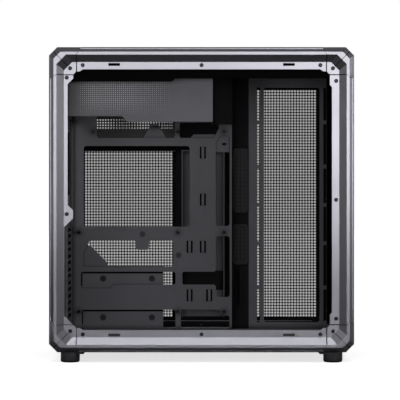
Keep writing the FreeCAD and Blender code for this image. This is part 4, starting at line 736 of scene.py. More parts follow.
# Operators
class CASE_OT_frame(bpy.types.Operator):
    """Round the edges of the bars, corner blocks, covers and connector block, and add the dark seams"""
    bl_idname = "case.frame"
    bl_label = "Frame and covers"
    # Points of a corner block's bevel, rim and slant along its mitre
    mitre_points = 4

    def execute(self, context):
        sizes = context.scene.case_sizes
        seams = bmesh.new()
        for node, slot in SLOTS.items():
            if slot in ("frame_metal", "cover_metal", "button_metal") or node == "connector_block":
                softened(node, sizes.edge_rounding, sizes.seam)
            if node.startswith(("left_", "right_")) and node.endswith(("_rail", "_post")):
                self.add_seams(seams, node, sizes.seam)
            if node.startswith(("left_", "right_")) and node.endswith("_corner"):
                self.add_mitre(seams, node, sizes.seam, sizes.mitre_rise)
        mesh = bpy.data.meshes.new("frame_seams")
        seams.to_mesh(mesh)
        seams.free()
        new_piece("frame_seams", mesh, "dark_plastic", finish="skirt_black")
        return {"FINISHED"}

    @staticmethod
    def add_seams(seams, node, thickness):
        """A dark plate in the chamfer at each end of a bar, with the bar's own section."""
        low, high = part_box(node)
        axis = long_axis(low, high)
        plate = bpy.data.meshes.new("plate")
        for end, inward in ((low[axis], thickness), (high[axis], -thickness)):
            work = welded(node)
            work.normal_update()
            others = [face for face in work.faces
                      if any(abs(corner.co[axis] - end) > NEAR for corner in face.verts)]
            bmesh.ops.delete(work, geom=others, context="FACES")
            grown = bmesh.ops.extrude_face_region(work, geom=work.faces[:], use_keep_orig=True)
            moved = [item for item in grown["geom"] if isinstance(item, bmesh.types.BMVert)]
            step = [inward if index == axis else 0.0 for index in range(3)]
            bmesh.ops.translate(work, verts=moved, vec=step)
            bmesh.ops.recalc_face_normals(work, faces=work.faces)
            work.to_mesh(plate)
            work.free()
            seams.from_mesh(plate)
        bpy.data.meshes.remove(plate)

    def add_mitre(self, seams, node, width, rise):
        """A dark line over a corner block's bevel, rim and slant, where its two arms meet."""
        low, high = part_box(node)
        middle = (low + high) / 2
        out_x = 1.0 if "_front_" in node else -1.0
        out_z = 1.0 if "_top_" in node else -1.0
        corner = Vector((high.x if out_x > 0 else low.x, 0.0, high.z if out_z > 0 else low.z))
        across = Vector((out_x, 0.0, -out_z)).normalized()
        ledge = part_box("right_side_panel")[0].y - NEAR
        work = welded(node)
        everything = work.verts[:] + work.edges[:] + work.faces[:]
        bmesh.ops.bisect_plane(work, geom=everything, plane_co=corner, plane_no=across,
                               clear_inner=True, clear_outer=True)
        bmesh.ops.dissolve_limit(work, angle_limit=BEND_ANGLE, verts=work.verts, edges=work.edges)
        places = [vertex.co.copy() for vertex in work.verts if abs(vertex.co.y) > ledge]
        work.free()
        places.sort(key=lambda place: (place - corner).xz.length)
        places = places[:self.mitre_points]

        def outward(first, second):
            """The direction out of the block from one step of the profile."""
            normal = (second - first).cross(across).normalized()
            return normal if normal.dot(first - middle) > 0 else -normal

        sides = [outward(first, second) for first, second in zip(places, places[1:])]
        pairs = zip(sides[:1] + sides, sides + sides[-1:])
        lifts = [(first + second) * rise / (1.0 + first.dot(second)) for first, second in pairs]
        outline = [place + lift for place, lift in zip(places, lifts)]
        outline += [place - lift for place, lift in zip(places[::-1], lifts[::-1])]
        build = Builder()
        sections = [[place + across * step for place in outline] for step in (-width / 2, width / 2)]
        capped(build, [build.ring(section) for section in sections])
        mitre = build.mesh("mitre")
        seams.from_mesh(mitre)
        bpy.data.meshes.remove(mitre)


class CASE_OT_sheet_metal(bpy.types.Operator):
    """Give each solid the finish of its slot, or one of its own"""
    bl_idname = "case.sheet_metal"
    bl_label = "Sheet metal"

    def execute(self, context):
        for node, solid in frame["nodes"].items():
            solid.data.materials.clear()
            solid.data.materials.append(finish_of(OWN_FINISHES.get(node, SLOTS[node])))
        return {"FINISHED"}


class CASE_OT_right_panel(bpy.types.Operator):
    """Make the right side panel with its fine round perforation"""
    bl_idname = "case.right_panel"
    bl_label = "Right panel"

    def execute(self, context):
        sizes = context.scene.case_sizes
        low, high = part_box("right_side_panel")
        cut = sizes.panel_corner
        pitch = sizes.panel_pitch
        hole = sizes.panel_hole / 2
        rows = int(sizes.panel_height / pitch)
        columns = int(sizes.panel_rear_width / pitch)
        front_columns = int(sizes.panel_front_width / pitch)
        fields = [
            Field(sizes.panel_rear_start, sizes.panel_low, pitch, columns, rows, lambda x, z: hole),
            Field(sizes.panel_front_start, sizes.panel_low, pitch, front_columns, rows, lambda x, z: hole),
        ]
        build = Builder()
        lower = [(low.x, low.z + cut), (low.x + cut, low.z), (high.x - cut, low.z), (high.x, low.z + cut)]
        upper = [(low.x, high.z - cut), (low.x + cut, high.z), (high.x - cut, high.z), (high.x, high.z - cut)]
        punched_sheet(build, fields, lower, upper, low.y)
        build.thicken(high.y - low.y)
        build.piece("right_panel_punched", "panel_steel", nodes=("right_side_panel",))
        return {"FINISHED"}


class CASE_OT_shroud(bpy.types.Operator):
    """Make the power supply shroud with its fine fading perforation"""
    bl_idname = "case.shroud"
    bl_label = "Power supply shroud"
    # Smallest hole's radius, as a share of the largest one's diameter
    least_hole = 0.12

    def execute(self, context):
        sizes = context.scene.case_sizes
        low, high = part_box("psu_shroud")
        end = low.x + sizes.shroud_length
        step_x = low.x + sizes.shroud_step_place
        step_z = low.z + sizes.shroud_step
        pitch = sizes.shroud_pitch
        start_x = sizes.shroud_field_start
        start_z = step_z + pitch
        columns = int((sizes.shroud_field_end - start_x) / pitch)
        rows = int((high.z - sizes.shroud_margin - start_z) / pitch)

        def radius(x, z):
            """The holes grow from the rear end and from below, and shrink towards the front."""
            shares = ((x - start_x) / sizes.shroud_fade_in, (z - start_z + pitch) / sizes.shroud_fade_in,
                      (sizes.shroud_field_end - x) / sizes.shroud_fade_out)
            size = sizes.shroud_hole / 2
            for share in shares:
                size *= math.sqrt(min(1.0, max(0.0, share)))
            return size if size > sizes.shroud_hole * self.least_hole else 0.0

        build = Builder()
        lower = [(low.x, step_z), (step_x, step_z), (step_x + sizes.shroud_step, low.z), (end, low.z)]
        upper = [(low.x, high.z), (end, high.z)]
        punched_sheet(build, [Field(start_x, start_z, pitch, columns, rows, radius)], lower, upper, low.y)
        build.thicken(sizes.sheet)
        inner = end - sizes.sheet
        build.block((inner, low.y + sizes.sheet, low.z), (end, high.y, high.z))
        build.block((end, high.y - sizes.sheet, low.z), (high.x, high.y, high.z))
        build.block((step_x + sizes.shroud_step, low.y + sizes.sheet, low.z),
                    (inner, low.y + sizes.shroud_lip, low.z + sizes.sheet))
        shroud = build.piece("shroud_punched", "black_steel", nodes=("psu_shroud",))
        # Painted shade: the side flange beyond the face's end gets the dull black of shade
        shroud.data.materials.append(finish_of("channel_black"))
        for face in shroud.data.polygons:
            face.material_index = int(face.center.x > end)
        # Painted light: a pale net just behind the face makes the holes look lit from behind
        back = low.y + sizes.shroud_painted_light_depth
        net = ((start_x, back, start_z),
               (start_x + columns * pitch, back + sizes.net_thickness, start_z + rows * pitch))
        block_piece("shroud_net", [net], "dark_plastic", "shroud_net")
        return {"FINISHED"}


class CASE_OT_beam(bpy.types.Operator):
    """Make the beam behind the tray with its perforated screen"""
    bl_idname = "case.beam"
    bl_label = "Beam and screen"

    def execute(self, context):
        sizes = context.scene.case_sizes
        low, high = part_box("tray_beam")
        pitch = sizes.screen_pitch
        hole = sizes.screen_hole / 2
        start_z = low.z + sizes.beam_height
        columns = int((high.x - low.x - pitch) / pitch)
        rows = int((high.z - start_z - pitch / 2) / pitch)
        start_x = (low.x + high.x - columns * pitch) / 2
        field = Field(start_x, start_z, pitch, columns, rows, lambda x, z: hole)
        build = Builder()
        lower = [(low.x, low.z), (high.x, low.z)]
        upper = [(low.x, high.z), (high.x, high.z)]
        punched_sheet(build, [field], lower, upper, high.y - sizes.sheet)
        build.thicken(sizes.sheet)
        build.block((low.x, low.y, low.z), (high.x, high.y - sizes.sheet, low.z + sizes.sheet))
        # Painted shade: the beam gets a black that stands for the tray's shadow on it
        build.piece("beam_punched", "black_steel", nodes=("tray_beam",), finish="beam_black")
        return {"FINISHED"}


class CASE_OT_screws(bpy.types.Operator):
    """Make the screws, with domed heads and cross recesses"""
    bl_idname = "case.screws"
    bl_label = "Screws"
    sides = 24
    # Domed head: share of its radius, and share of its height
    dome = ((0.94, 0.0), (1.0, 0.12), (1.0, 0.35), (0.95, 0.62), (0.84, 0.86), (0.68, 1.0))
    # Cross recess: half length, half width and depth, as shares of the head's radius
    cross = (0.50, 0.15, 0.36)

    def execute(self, context):
        for node, outward in (("left_ledge_screws", -1), ("slot_screws", -1), ("panel_screws", 1)):
            build = Builder()
            for low, high in islands(node):
                self.screw(build, low, high, outward, context.scene.case_sizes)
            build.piece(f"{node}_domed", "screw_steel", smooth_angle=40, nodes=(node,))
        return {"FINISHED"}

    def screw(self, build, low, high, outward, sizes):
        """One screw along Y that fills the box of its solid."""
        radius = (high.x - low.x) / 2
        middle = ((low.x + high.x) / 2, (low.z + high.z) / 2)
        tip, end = (low.y, high.y) if outward < 0 else (high.y, low.y)
        height = sizes.screw_head_height
        seat = tip - outward * height
        shank = sizes.screw_diameter / 2 / radius
        profile = [(shank, -abs(end - seat)), (shank, 0.0)]
        profile += [(share, rise * height) for share, rise in self.dome]
        rings = [ring_at(build, middle, radius * share, seat + outward * rise, self.sides)
                 for share, rise in profile]
        for first, second in zip(rings, rings[1:]):
            build.wall(first, second)
        build.face(rings[0][::-1])
        self.recess(build, rings[-1], middle, tip, outward, radius)

    def recess(self, build, rim, middle, face, outward, radius):
        """The cross recess in the middle of a head."""
        long, wide, deep = (share * radius for share in self.cross)

        def turned_point(along, across, quarter, depth):
            angle = quarter * math.pi / 2
            cosine, sine = round(math.cos(angle)), round(math.sin(angle))
            return build.point(middle[0] + along * cosine - across * sine, depth,
                               middle[1] + along * sine + across * cosine)

        arm = ((long, -wide), (long, 0.0), (long, wide), (wide, wide))
        upper, floor = ([turned_point(along, across, quarter, depth)
                         for quarter in range(4) for along, across in arm]
                        for depth in (face, face - outward * deep))
        step = self.sides // 4
        for quarter in range(4):
            arc = [rim[(quarter * step + index) % self.sides] for index in range(step + 1)]
            start = quarter * len(arm)
            inner = [upper[(start + index) % len(upper)] for index in range(len(arm) + 1, 0, -1)]
            build.face(arc + inner)
        build.wall(upper, floor)
        build.face(floor)


class CASE_OT_feet(bpy.types.Operator):
    """Make the feet, turned with a rounded sole"""
    bl_idname = "case.feet"
    bl_label = "Feet"
    sides = 64
    # Rounded sole: inset from the radius, and height above the floor, in millimetres
    sole = ((3.4, 0.0), (2.3, 0.2), (1.1, 0.8), (0.35, 1.8), (0.0, 3.2))

    def execute(self, context):
        for node, slot in SLOTS.items():
            if slot != "foot_plastic":
                continue
            low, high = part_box(node)
            radius = (high.x - low.x) / 2
            middle = ((low.x + high.x) / 2, (low.y + high.y) / 2)
            profile = [(radius - inset * MM, low.z + rise * MM) for inset, rise in self.sole]
            profile.append((radius, high.z))
            build = Builder()
            turned(build, profile, middle, self.sides)
            build.piece(f"{node}_turned", slot, smooth_angle=40, nodes=(node,))
        return {"FINISHED"}


class CASE_OT_grommets(bpy.types.Operator):
    """Make the rubber grommets: a rounded lip and two rows of flaps"""
    bl_idname = "case.grommets"
    bl_label = "Grommets"
    # Lip: inset in millimetres and share of its depth, from the inner front edge round to the back
    lip_profile = ((4.0, 0.5), (4.0, 0.16), (3.5, 0.04), (2.6, 0.0), (1.2, 0.0), (0.4, 0.05), (0.0, 0.16),
                   (0.0, 0.34), (1.9, 0.36), (1.9, 0.64), (0.0, 0.66), (0.0, 0.9), (0.4, 1.0), (4.0, 1.0))
    outer_rounding = 4.4 * MM
    least_rounding = 1.2 * MM
    corner_steps = 5
    # Flaps: distance from the lip's edge, gap beside each, half their thickness and their depth's share
    flap_edge = 3.8 * MM
    flap_gap = 0.25 * MM
    flap_half = 0.5 * MM
    flap_depth = 0.42

    def execute(self, context):
        sizes = context.scene.case_sizes
        for node in ("upper_grommet", "lower_grommet"):
            low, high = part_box(node)
            build = Builder()
            self.lip(build, low, high)
            self.flaps(build, low, high, sizes.finger_pitch)
            build.piece(f"{node}_moulded", "grommet_rubber", smooth_angle=35, nodes=(node,))
        return {"FINISHED"}

    def lip(self, build, low, high):
        """The rounded frame, from its front face round the outside to its back face."""
        thick = high.y - low.y
        rings = []
        for inset, depth in self.lip_profile:
            edge = inset * MM
            rounding = max(self.least_rounding, self.outer_rounding - edge)
            corners = rounded_rectangle((low.x + edge, low.z + edge), (high.x - edge, high.z - edge),
                                        rounding, self.corner_steps, low.y + depth * thick)
            rings.append(build.ring(corners))
        build.closed_loop(rings)

    def flaps(self, build, low, high, pitch):
        """Two rows of flaps that meet at an upright slit."""
        edge, gap, half = self.flap_edge, self.flap_gap, self.flap_half
        depth = low.y + self.flap_depth * (high.y - low.y)
        middle = (low.x + high.x) / 2
        count = int((high.z - low.z - 2 * edge) / pitch)
        size = (high.z - low.z - 2 * edge) / count
        for index in range(count):
            start = low.z + edge + index * size
            for rear, front in ((low.x + edge, middle - gap), (middle + gap, high.x - edge)):
                build.block((rear, depth - half, start + gap), (front, depth + half, start + size - gap))


class CASE_OT_standoffs(bpy.types.Operator):
    """Make the six-sided standoffs, with chamfered ends and a bore"""
    bl_idname = "case.standoffs"
    bl_label = "Standoffs"
    sides = 6
    chamfer = 0.45 * MM

    def execute(self, context):
        sizes = context.scene.case_sizes
        build = Builder()
        for low, high in islands("standoffs"):
            middle = ((low.x + high.x) / 2, (low.z + high.z) / 2)
            radius = max(high.x - low.x, high.z - low.z) / 2
            bore = sizes.screw_diameter / 2
            tip, seat = low.y, high.y
            chamfer = self.chamfer
            profile = [(radius, seat), (radius, tip + chamfer), (radius - chamfer, tip),
                       (bore + chamfer, tip), (bore, tip + chamfer), (bore, seat)]
            turn = 0.0 if high.x - low.x > high.z - low.z else math.pi / self.sides
            build.closed_loop([ring_at(build, middle, size, depth, self.sides, turn)
                               for size, depth in profile])
        build.piece("standoffs_chamfered", "standoff_steel", nodes=("standoffs",))
        return {"FINISHED"}


class CASE_OT_nets(bpy.types.Operator):
    """Make the dust nets behind the covers, the bottom filter, the rear vent and the right panel"""
    bl_idname = "case.nets"
    bl_label = "Dust nets"

    def execute(self, context):
        sizes = context.scene.case_sizes
        wall, gap, thick = sizes.cover_wall, sizes.net_gap, sizes.net_thickness
        low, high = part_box("top_cover")
        block_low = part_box("connector_block")[0]
        top = high.z - wall - gap
        self.net("top_net", (low.x + 2 * wall, low.y + 2 * wall, top - thick),
                 (block_low.x - 2 * wall, high.y - 2 * wall, top))
        low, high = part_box("front_panel")
        face = high.x - wall - gap
        self.net("front_net", (face - thick, low.y + 2 * wall, low.z + 2 * wall),
                 (face, high.y - 2 * wall, high.z - 2 * wall))
        low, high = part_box("bottom_filter")
        self.net("bottom_net", (low.x + 2 * wall, low.y + 2 * wall, high.z - gap - thick),
                 (high.x - 2 * wall, high.y - 2 * wall, high.z - gap))
        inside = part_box("rear_panel")[1].x + gap
        half = sizes.rear_vent / 2
        self.net("rear_net", (inside, sizes.rear_vent_y - half, sizes.rear_vent_z - half),
                 (inside + thick, sizes.rear_vent_y + half, sizes.rear_vent_z + half))
        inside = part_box("right_side_panel")[0].y - gap
        edge = sizes.panel_pitch / 2
        for name, start, width in (("rear_panel_net", sizes.panel_rear_start, sizes.panel_rear_width),
                                   ("front_panel_net", sizes.panel_front_start, sizes.panel_front_width)):
            self.net(name, (start - edge, inside - thick, sizes.panel_low - edge),
                     (start + width + edge, inside, sizes.panel_low + sizes.panel_height + edge), "panel_net")
        return {"FINISHED"}

    @staticmethod
    def net(name, low, high, finish="dust_net"):
        """One flat net between two corners."""
        block_piece(name, [(low, high)], "dark_plastic", finish)


class CASE_OT_tray_fittings(bpy.types.Operator):
    """Make the cable tie bridges with black pads of painted shade in their slits, the tray's plugs and the
    drive dampers
    """
    bl_idname = "case.tray_fittings"
    bl_label = "Tray fittings"
    # Places along X and Z, in millimetres
    bridge_places = ((2.2, 313.9), (2.2, 240.2), (-18.6, 166.2), (2.2, 166.2), (-18.6, 90.0), (12.2, 90.0))
    plug_places = ((-92.6, 186.0), (-36.0, 153.2))
    # Dampers: radius and depth behind the plate's face. Plugs: radius and rise out of the tray's face
    damper_profile = ((3.6, 1.1), (3.6, 0.0), (4.6, 0.0), (4.6, -0.35), (4.2, -0.6), (2.7, -0.6), (2.4, -0.3),
                      (2.4, 0.5))
    plug_profile = ((4.1, 0.0), (4.1, 0.5), (3.8, 0.8), (3.3, 0.8), (3.1, 0.35), (2.6, 0.35), (2.4, 0.7))
    round_sides = 32
    plate_dampers = 2
    # Anchors: half their width and height, their slits' width and the thickness of the black pads of painted
    # shade in them
    anchor_half = 4.7 * MM
    anchor_reach = 9.4 * MM
    slit_width = 2.6 * MM
    shade_pad_depth = 0.3 * MM
    # Bridges between the slits: half their width and height, bow, thickness, roundness and steps
    bridge_half = 2.0 * MM
    bridge_reach = 9.2 * MM
    bridge_bow = 1.5 * MM
    bridge_depth = 0.6 * MM
    bridge_roundness = 0.7
    bridge_steps = 10

    def execute(self, context):
        sizes = context.scene.case_sizes
        low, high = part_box("motherboard_tray")
        face, back = low.y, high.y
        build = Builder()
        shade_pads = []
        for x, z in self.bridge_places:
            self.bridge(build, x * MM, z * MM, face)
            shade_pads += self.shade_pads(x * MM, z * MM, back)
        build.piece("cable_tie_bridges", "black_steel", smooth_angle=40)
        block_piece("anchor_pads", shade_pads, "grommet_rubber", "skirt_black")
        build = Builder()
        for x, z in self.plug_places:
            self.plug(build, x * MM, z * MM, face)
        build.piece("tray_plugs", "dark_plastic", smooth_angle=30)
        build = Builder()
        for node, rise in (("upper_drive_plate", sizes.upper_damper_z),
                           ("lower_drive_plate", sizes.lower_damper_z)):
            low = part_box(node)[0]
            for number in range(self.plate_dampers):
                x = low.x + sizes.damper_x + number * sizes.damper_spacing
                self.damper(build, x, low.z + rise, low.y)
        build.piece("drive_dampers", "grommet_rubber", smooth_angle=30)
        return {"FINISHED"}

    def shade_pads(self, x, z, back):
        """Black blocks of painted shade at the bottom of an anchor's two slits."""
        starts = (x - self.anchor_half, x + self.anchor_half - self.slit_width)
        return [((start, back - self.shade_pad_depth, z - self.anchor_reach),
                 (start + self.slit_width, back, z + self.anchor_reach)) for start in starts]

    def damper(self, build, x, z, face):
        """A rubber ring with a closed middle, in a hole of a drive plate."""
        capped(build, [ring_at(build, (x, z), radius * MM, face + rise * MM, self.round_sides)
                       for radius, rise in self.damper_profile])

    def bridge(self, build, x, z, face):
        """A strip that bows out from the tray between its two slits."""
        half, reach, thick = self.bridge_half, self.bridge_reach, self.bridge_depth
        lines = []
        for step in range(self.bridge_steps + 1):
            share = step / self.bridge_steps
            height = z - reach + 2 * reach * share
            out = face - self.bridge_bow * math.sin(math.pi * share) ** self.bridge_roundness
            lines.append(build.ring([(x - half, out - thick, height), (x + half, out - thick, height),
                                     (x + half, out, height), (x - half, out, height)]))
        capped(build, lines)

    def plug(self, build, x, z, face):
        """A low round plug with a ring groove."""
        capped(build, [ring_at(build, (x, z), radius * MM, face - rise * MM, self.round_sides)
                       for radius, rise in self.plug_profile])


class CASE_OT_trims(bpy.types.Operator):
    """Make the rear windows' trims, and the black linings, strips and blocks of painted shade in the slot
    covers' vents and on the sheets
    """
    bl_idname = "case.trims"
    # Painted shade: the foam and tape are black strips and blocks where shade falls
    bl_label = "Trims, foam and tape"
    # Each drive window's plate, rear inset and top above the plate's low edge, in millimetres
    drive_shade_seals = (("upper_drive_plate", 0.0, 38.1), ("lower_drive_plate", 1.2, 31.0))

    def execute(self, context):
        sizes = context.scene.case_sizes
        self.port_lip(sizes)
        self.supply_trim(sizes)
        self.far_tape(sizes)
        self.slot_vents(sizes)
        self.cover_pad(sizes)
        self.window_seals(sizes)
        return {"FINISHED"}

    @staticmethod
    def window_frame(name, depth, low, high, edge):
        """Four bars, each as wide as the edge, round a rectangle on the inside of the rear wall."""
        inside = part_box("rear_panel")[1].x
        end = inside + depth
        (near, bottom), (far, top) = low, high
        bars = [((inside, near, bottom), (end, near + edge, top)),
                ((inside, far - edge, bottom), (end, far, top)),
                ((inside, near + edge, bottom), (end, far - edge, bottom + edge)),
                ((inside, near + edge, top - edge), (end, far - edge, top))]
        block_piece(name, bars, "black_steel")

    def port_lip(self, sizes):
        """The folded lip round the rear port window."""
        edge = sizes.sheet
        low = (sizes.port_near - edge, sizes.port_low - edge)
        high = (sizes.port_near + sizes.port_width + edge, sizes.port_low + sizes.port_height + edge)
        self.window_frame("port_lip", sizes.port_lip, low, high, edge)

    def supply_trim(self, sizes):
        """The flat trim frame inside the rear supply window."""
        low = (sizes.supply_near, sizes.supply_low)
        high = (sizes.supply_near + sizes.supply_width, sizes.supply_low + sizes.supply_height)
        self.window_frame("supply_trim", sizes.sheet, low, high, sizes.supply_trim)

    @staticmethod
    def far_tape(sizes):
        """Black strips of painted shade on the inside of the far bottom and front ledges."""
        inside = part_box("right_side_panel")[0].y - sizes.ledge_thickness
        near = inside - sizes.net_thickness
        reach = sizes.shade_tape_length / 2
        strips = [((-reach, near, sizes.shade_tape_low), (reach, inside, sizes.shade_tape_high)),
                  ((sizes.shade_tape_rear, near, sizes.shade_tape_high), (sizes.shade_tape_front, inside, sizes.shade_tape_top)),
                  ((sizes.shade_tape_rear - sizes.shade_tape_corner_width, near, sizes.shade_tape_high),
                   (sizes.shade_tape_rear, inside, sizes.shade_tape_high + sizes.shade_tape_corner_height))]
        block_piece("far_tape", strips, "grommet_rubber", "channel_black")

    @staticmethod
    def slot_vents(sizes):
        """Two long dark linings of painted shade for the vents on the inside of each slot cover."""
        vents = []
        for node in SLOTS:
            if not node.startswith("slot_cover_"):
                continue
            low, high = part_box(node)
            for side in (-1, 1):
                middle = (low.z + high.z + side * sizes.vent_spacing) / 2
                vents.append(((high.x, low.y + sizes.vent_margin, middle - sizes.vent_height / 2),
                              (high.x + sizes.vent_shade_depth, high.y - 2 * sizes.vent_margin,
                               middle + sizes.vent_height / 2)))
        block_piece("slot_vents", vents, "dark_plastic", "skirt_black")

    @staticmethod
    def cover_pad(sizes):
        """A black block of painted shade on the low end of the cable cover."""
        low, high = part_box("cable_cover")
        face = high.y - sizes.sheet
        pad = ((low.x + sizes.sheet, face - sizes.net_thickness, sizes.cover_shade_pad_low),
               (high.x - sizes.sheet, face, sizes.cover_shade_pad_high))
        block_piece("cover_pad", [pad], "grommet_rubber", "channel_black")

    def window_seals(self, sizes):
        """Black strips of painted shade along the drive windows' tops and rear ends, on the beam and on the
        fan bracket.
        """
        shade_seals = []
        for node, inset, rise in self.drive_shade_seals:
            low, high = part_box(node)
            rear = low.x + inset * MM
            top = low.z + rise * MM
            near = low.y - sizes.net_thickness
            shade_seals.append(((rear, near, top - sizes.shade_seal_height), (high.x, low.y, top)))
            shade_seals.append(((rear, near, top - sizes.shade_seal_reach),
                          (rear + sizes.shade_seal_width, low.y, top - sizes.shade_seal_height)))
        low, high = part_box("tray_beam")
        fold, face = low.z + sizes.sheet, high.y - sizes.sheet
        shade_seals.append(((low.x, face - sizes.net_thickness, fold), (high.x, face, fold + sizes.beam_shade_seal)))
        low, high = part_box("side_fan_bracket")
        rear, near = high.x - sizes.bracket_shade_seal, low.y - sizes.net_thickness
        shade_seals.append(((rear, near, low.z + sizes.bracket_margin),
                      (high.x, low.y, high.z - sizes.bracket_margin)))
        block_piece("window_seals", shade_seals, "grommet_rubber", "skirt_black")


class CASE_OT_stage(bpy.types.Operator):
    """Make the floor, the lamps, the world and the camera"""
    bl_idname = "case.stage"
    bl_label = "Stage"
    wide, broad, narrow, slim = math.pi, math.radians(72), math.radians(36), math.radians(10)
    # Lamps: name, power's property, place, target, width and height, and spread
    lamps = (
        ("front_box", "front_watts", (0.0, -1.3, 0.45), (0.0, -0.1, 0.24), (1.0, 0.7), wide),
        ("high_box", "high_watts", (0.0, -1.3, 0.52), (0.0, 0.0, 0.52), (1.0, 0.7), narrow),
        ("left_box", "left_watts", (-0.75, -1.5, 0.40), (0.0, 0.0, 0.49), (0.35, 0.4), narrow),
        ("right_box", "right_watts", (1.2, -1.0, 0.35), (-0.1, 0.07, 0.35), (0.5, 0.4), narrow),
        ("rim_box", "rim_watts", (0.45, -1.4, 0.45), (0.22, 0.0, 0.30), (0.4, 0.5), narrow),
        ("low_box", "low_watts", (0.0, -1.3, 0.22), (0.0, -0.12, 0.02), (1.0, 0.06), slim),
        ("strip", "strip_watts", (0.0, -0.26, 0.55), (0.0, -0.117, 0.03), (0.8, 0.05), broad),
        ("front_end", "front_end_watts", (1.0, -0.20, 0.55), (0.0, -0.1, 0.24), (0.5, 0.7), wide),
        ("rear_end", "rear_end_watts", (-0.9, -0.70, 0.45), (0.0, -0.1, 0.24), (0.4, 0.8), wide),
    )
    sensor_width = 36.0
    view_reach = 50.0
    # How far behind the origin reflected rays start to see the white, and where they see all of it
    world_behind = (0.2, 0.7)
    floor_behind = (0.3, 1.2)
    # The floor's half width, where its white fades in, and the reach and depth of the painted shadow under
    # the case
    floor_reach = 12.0
    floor_fade = (0.4, 1.2)
    shade_reach = 0.15
    shade_depth = 0.2

    def execute(self, context):
        stage = context.scene.case_stage
        self.make_world(context.scene, stage)
        self.make_floor(stage)
        for name, power, place, target, size, spread in self.lamps:
            self.make_lamp(name, place, target, size, getattr(stage, power), spread)
        eye = bpy.data.cameras.new("camera")
        eye.lens = stage.camera_lens
        eye.sensor_width = self.sensor_width
        eye.clip_end = self.view_reach
        camera = bpy.data.objects.new("camera", eye)
        camera.location = stage.camera_place
        camera.rotation_euler = (math.radians(90), 0.0, 0.0)
        context.scene.collection.objects.link(camera)
        context.scene.camera = camera
        context.scene.view_settings.view_transform = "Standard"
        return {"FINISHED"}

    @staticmethod
    def seen(finish, start, end):
        """1 for rays that see the white: those of the camera, through nets, and reflected to the back."""
        camera = finish.add("ShaderNodeLightPath", output="Is Camera Ray")
        through = finish.add("ShaderNodeLightPath", output="Is Transmission Ray")
        glossy = finish.add("ShaderNodeLightPath", output="Is Glossy Ray")
        place = finish.add("ShaderNodeTexCoord", output="Object")
        back = finish.add("ShaderNodeSeparateXYZ", None, {"Vector": place}, output="Y")
        behind = finish.add("ShaderNodeMapRange", {"interpolation_type": "SMOOTHSTEP"},
                            {"Value": back, "From Min": start, "From Max": end})
        return camera + through + glossy * behind

    def make_world(self, scene, stage):
        """White for the rays that see it, and dim light for all others."""
        world = bpy.data.worlds.new("studio")
        world.use_nodes = True
        scene.world = world
        finish = Finish(world.node_tree)
        white, light = (finish.add("ShaderNodeBackground", None, {"Color": (level, level, level, 1.0)})
                        for level in (1.0, stage.world_level))
        seen = self.seen(finish, *self.world_behind)
        mixed = finish.add("ShaderNodeMixShader", None, {0: seen, 1: light, 2: white})
        finish.add("ShaderNodeOutputWorld", None, {"Surface": mixed})

    def make_floor(self, stage):
        """A pale floor with a faint shadow, partly cast and partly painted by ambient occlusion, which
        bounces little light.
        """
        build = Builder()
        reach = self.floor_reach
        build.face(build.ring([(-reach, -reach, 0), (reach, -reach, 0),
                               (reach, reach, 0), (-reach, reach, 0)]))
        floor = bpy.data.objects.new("floor", build.mesh("floor"))
        bpy.context.scene.collection.objects.link(floor)

        def paint(finish):
            seen = self.seen(finish, *self.floor_behind)
            place = finish.add("ShaderNodeTexCoord", output="Object")
            away = finish.add("ShaderNodeVectorMath", {"operation": "LENGTH"}, {0: place}, output="Value")
            near, full = self.floor_fade
            far = finish.add("ShaderNodeMapRange", {"interpolation_type": "SMOOTHSTEP"},
                             {"Value": away, "From Min": near, "From Max": full, "To Min": stage.floor_white})
            # Painted shadow: ambient occlusion darkens the white that the camera sees near the case
            shade_left = finish.hollow_shade(self.shade_reach) * self.shade_depth + (1.0 - self.shade_depth)
            white = finish.add("ShaderNodeEmission", None, {"Strength": far * shade_left})
            pale = finish.add("ShaderNodeBsdfDiffuse", None, {"Color": (*stage.floor_colour, 1.0)})
            lit = finish.add("ShaderNodeAddShader", None, {0: pale, 1: white})
            dull = finish.add("ShaderNodeBsdfDiffuse", None, {"Color": (*stage.floor_bounce, 1.0)})
            mixed = finish.add("ShaderNodeMixShader", None, {0: seen, 1: dull, 2: lit})
            finish.add("ShaderNodeOutputMaterial", None, {"Surface": mixed})

        floor.data.materials.append(material("floor", paint))

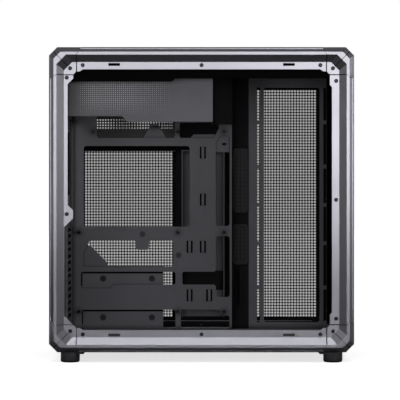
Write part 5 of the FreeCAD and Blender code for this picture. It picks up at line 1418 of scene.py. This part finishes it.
    @staticmethod
    def make_lamp(name, place, target, size, power, spread):
        """A rectangular lamp that looks at its target."""
        light = bpy.data.lights.new(name, "AREA")
        light.spread = spread
        light.shape = "RECTANGLE"
        light.size, light.size_y = size
        light.energy = power
        lamp = bpy.data.objects.new(name, light)
        lamp.location = place
        lamp.rotation_euler = (Vector(target) - Vector(place)).to_track_quat("-Z", "Y").to_euler()
        lamp.visible_camera = False
        bpy.context.scene.collection.objects.link(lamp)


class CASE_PT_build(bpy.types.Panel):
    """Build steps, sizes and colours of the case"""
    bl_idname = "CASE_PT_build"
    bl_label = "Case"
    bl_space_type = "VIEW_3D"
    bl_region_type = "UI"
    bl_category = "Case"

    def draw(self, context):
        for operator in OPERATORS:
            self.layout.operator(operator.bl_idname)
        for group in (context.scene.case_sizes, context.scene.case_finishes, context.scene.case_stage):
            box = self.layout.box()
            for name in group.bl_rna.properties.keys():
                if name not in ("rna_type", "name"):
                    box.prop(group, name)


GROUPS = {"case_sizes": CaseSizes, "case_finishes": CaseFinishes, "case_stage": CaseStage}
OPERATORS = (CASE_OT_sheet_metal, CASE_OT_frame, CASE_OT_right_panel, CASE_OT_shroud, CASE_OT_beam,
             CASE_OT_screws, CASE_OT_feet, CASE_OT_grommets, CASE_OT_standoffs, CASE_OT_nets,
             CASE_OT_tray_fittings, CASE_OT_trims, CASE_OT_stage)


def register():
    for name, group in GROUPS.items():
        bpy.utils.register_class(group)
        setattr(bpy.types.Scene, name, bpy.props.PointerProperty(type=group))
    for operator in OPERATORS:
        bpy.utils.register_class(operator)
    bpy.utils.register_class(CASE_PT_build)


def unregister():
    bpy.utils.unregister_class(CASE_PT_build)
    for operator in reversed(OPERATORS):
        bpy.utils.unregister_class(operator)
    for name, group in GROUPS.items():
        delattr(bpy.types.Scene, name)
        bpy.utils.unregister_class(group)


def main():
    """Build the case step by step."""
    register()
    bpy.ops.case.sheet_metal()
    bpy.ops.case.frame()
    bpy.ops.case.right_panel()
    bpy.ops.case.shroud()
    bpy.ops.case.beam()
    bpy.ops.case.screws()
    bpy.ops.case.feet()
    bpy.ops.case.grommets()
    bpy.ops.case.standoffs()
    bpy.ops.case.nets()
    bpy.ops.case.tray_fittings()
    bpy.ops.case.trims()
    bpy.ops.case.stage()


if __name__ == "__main__":
    main()
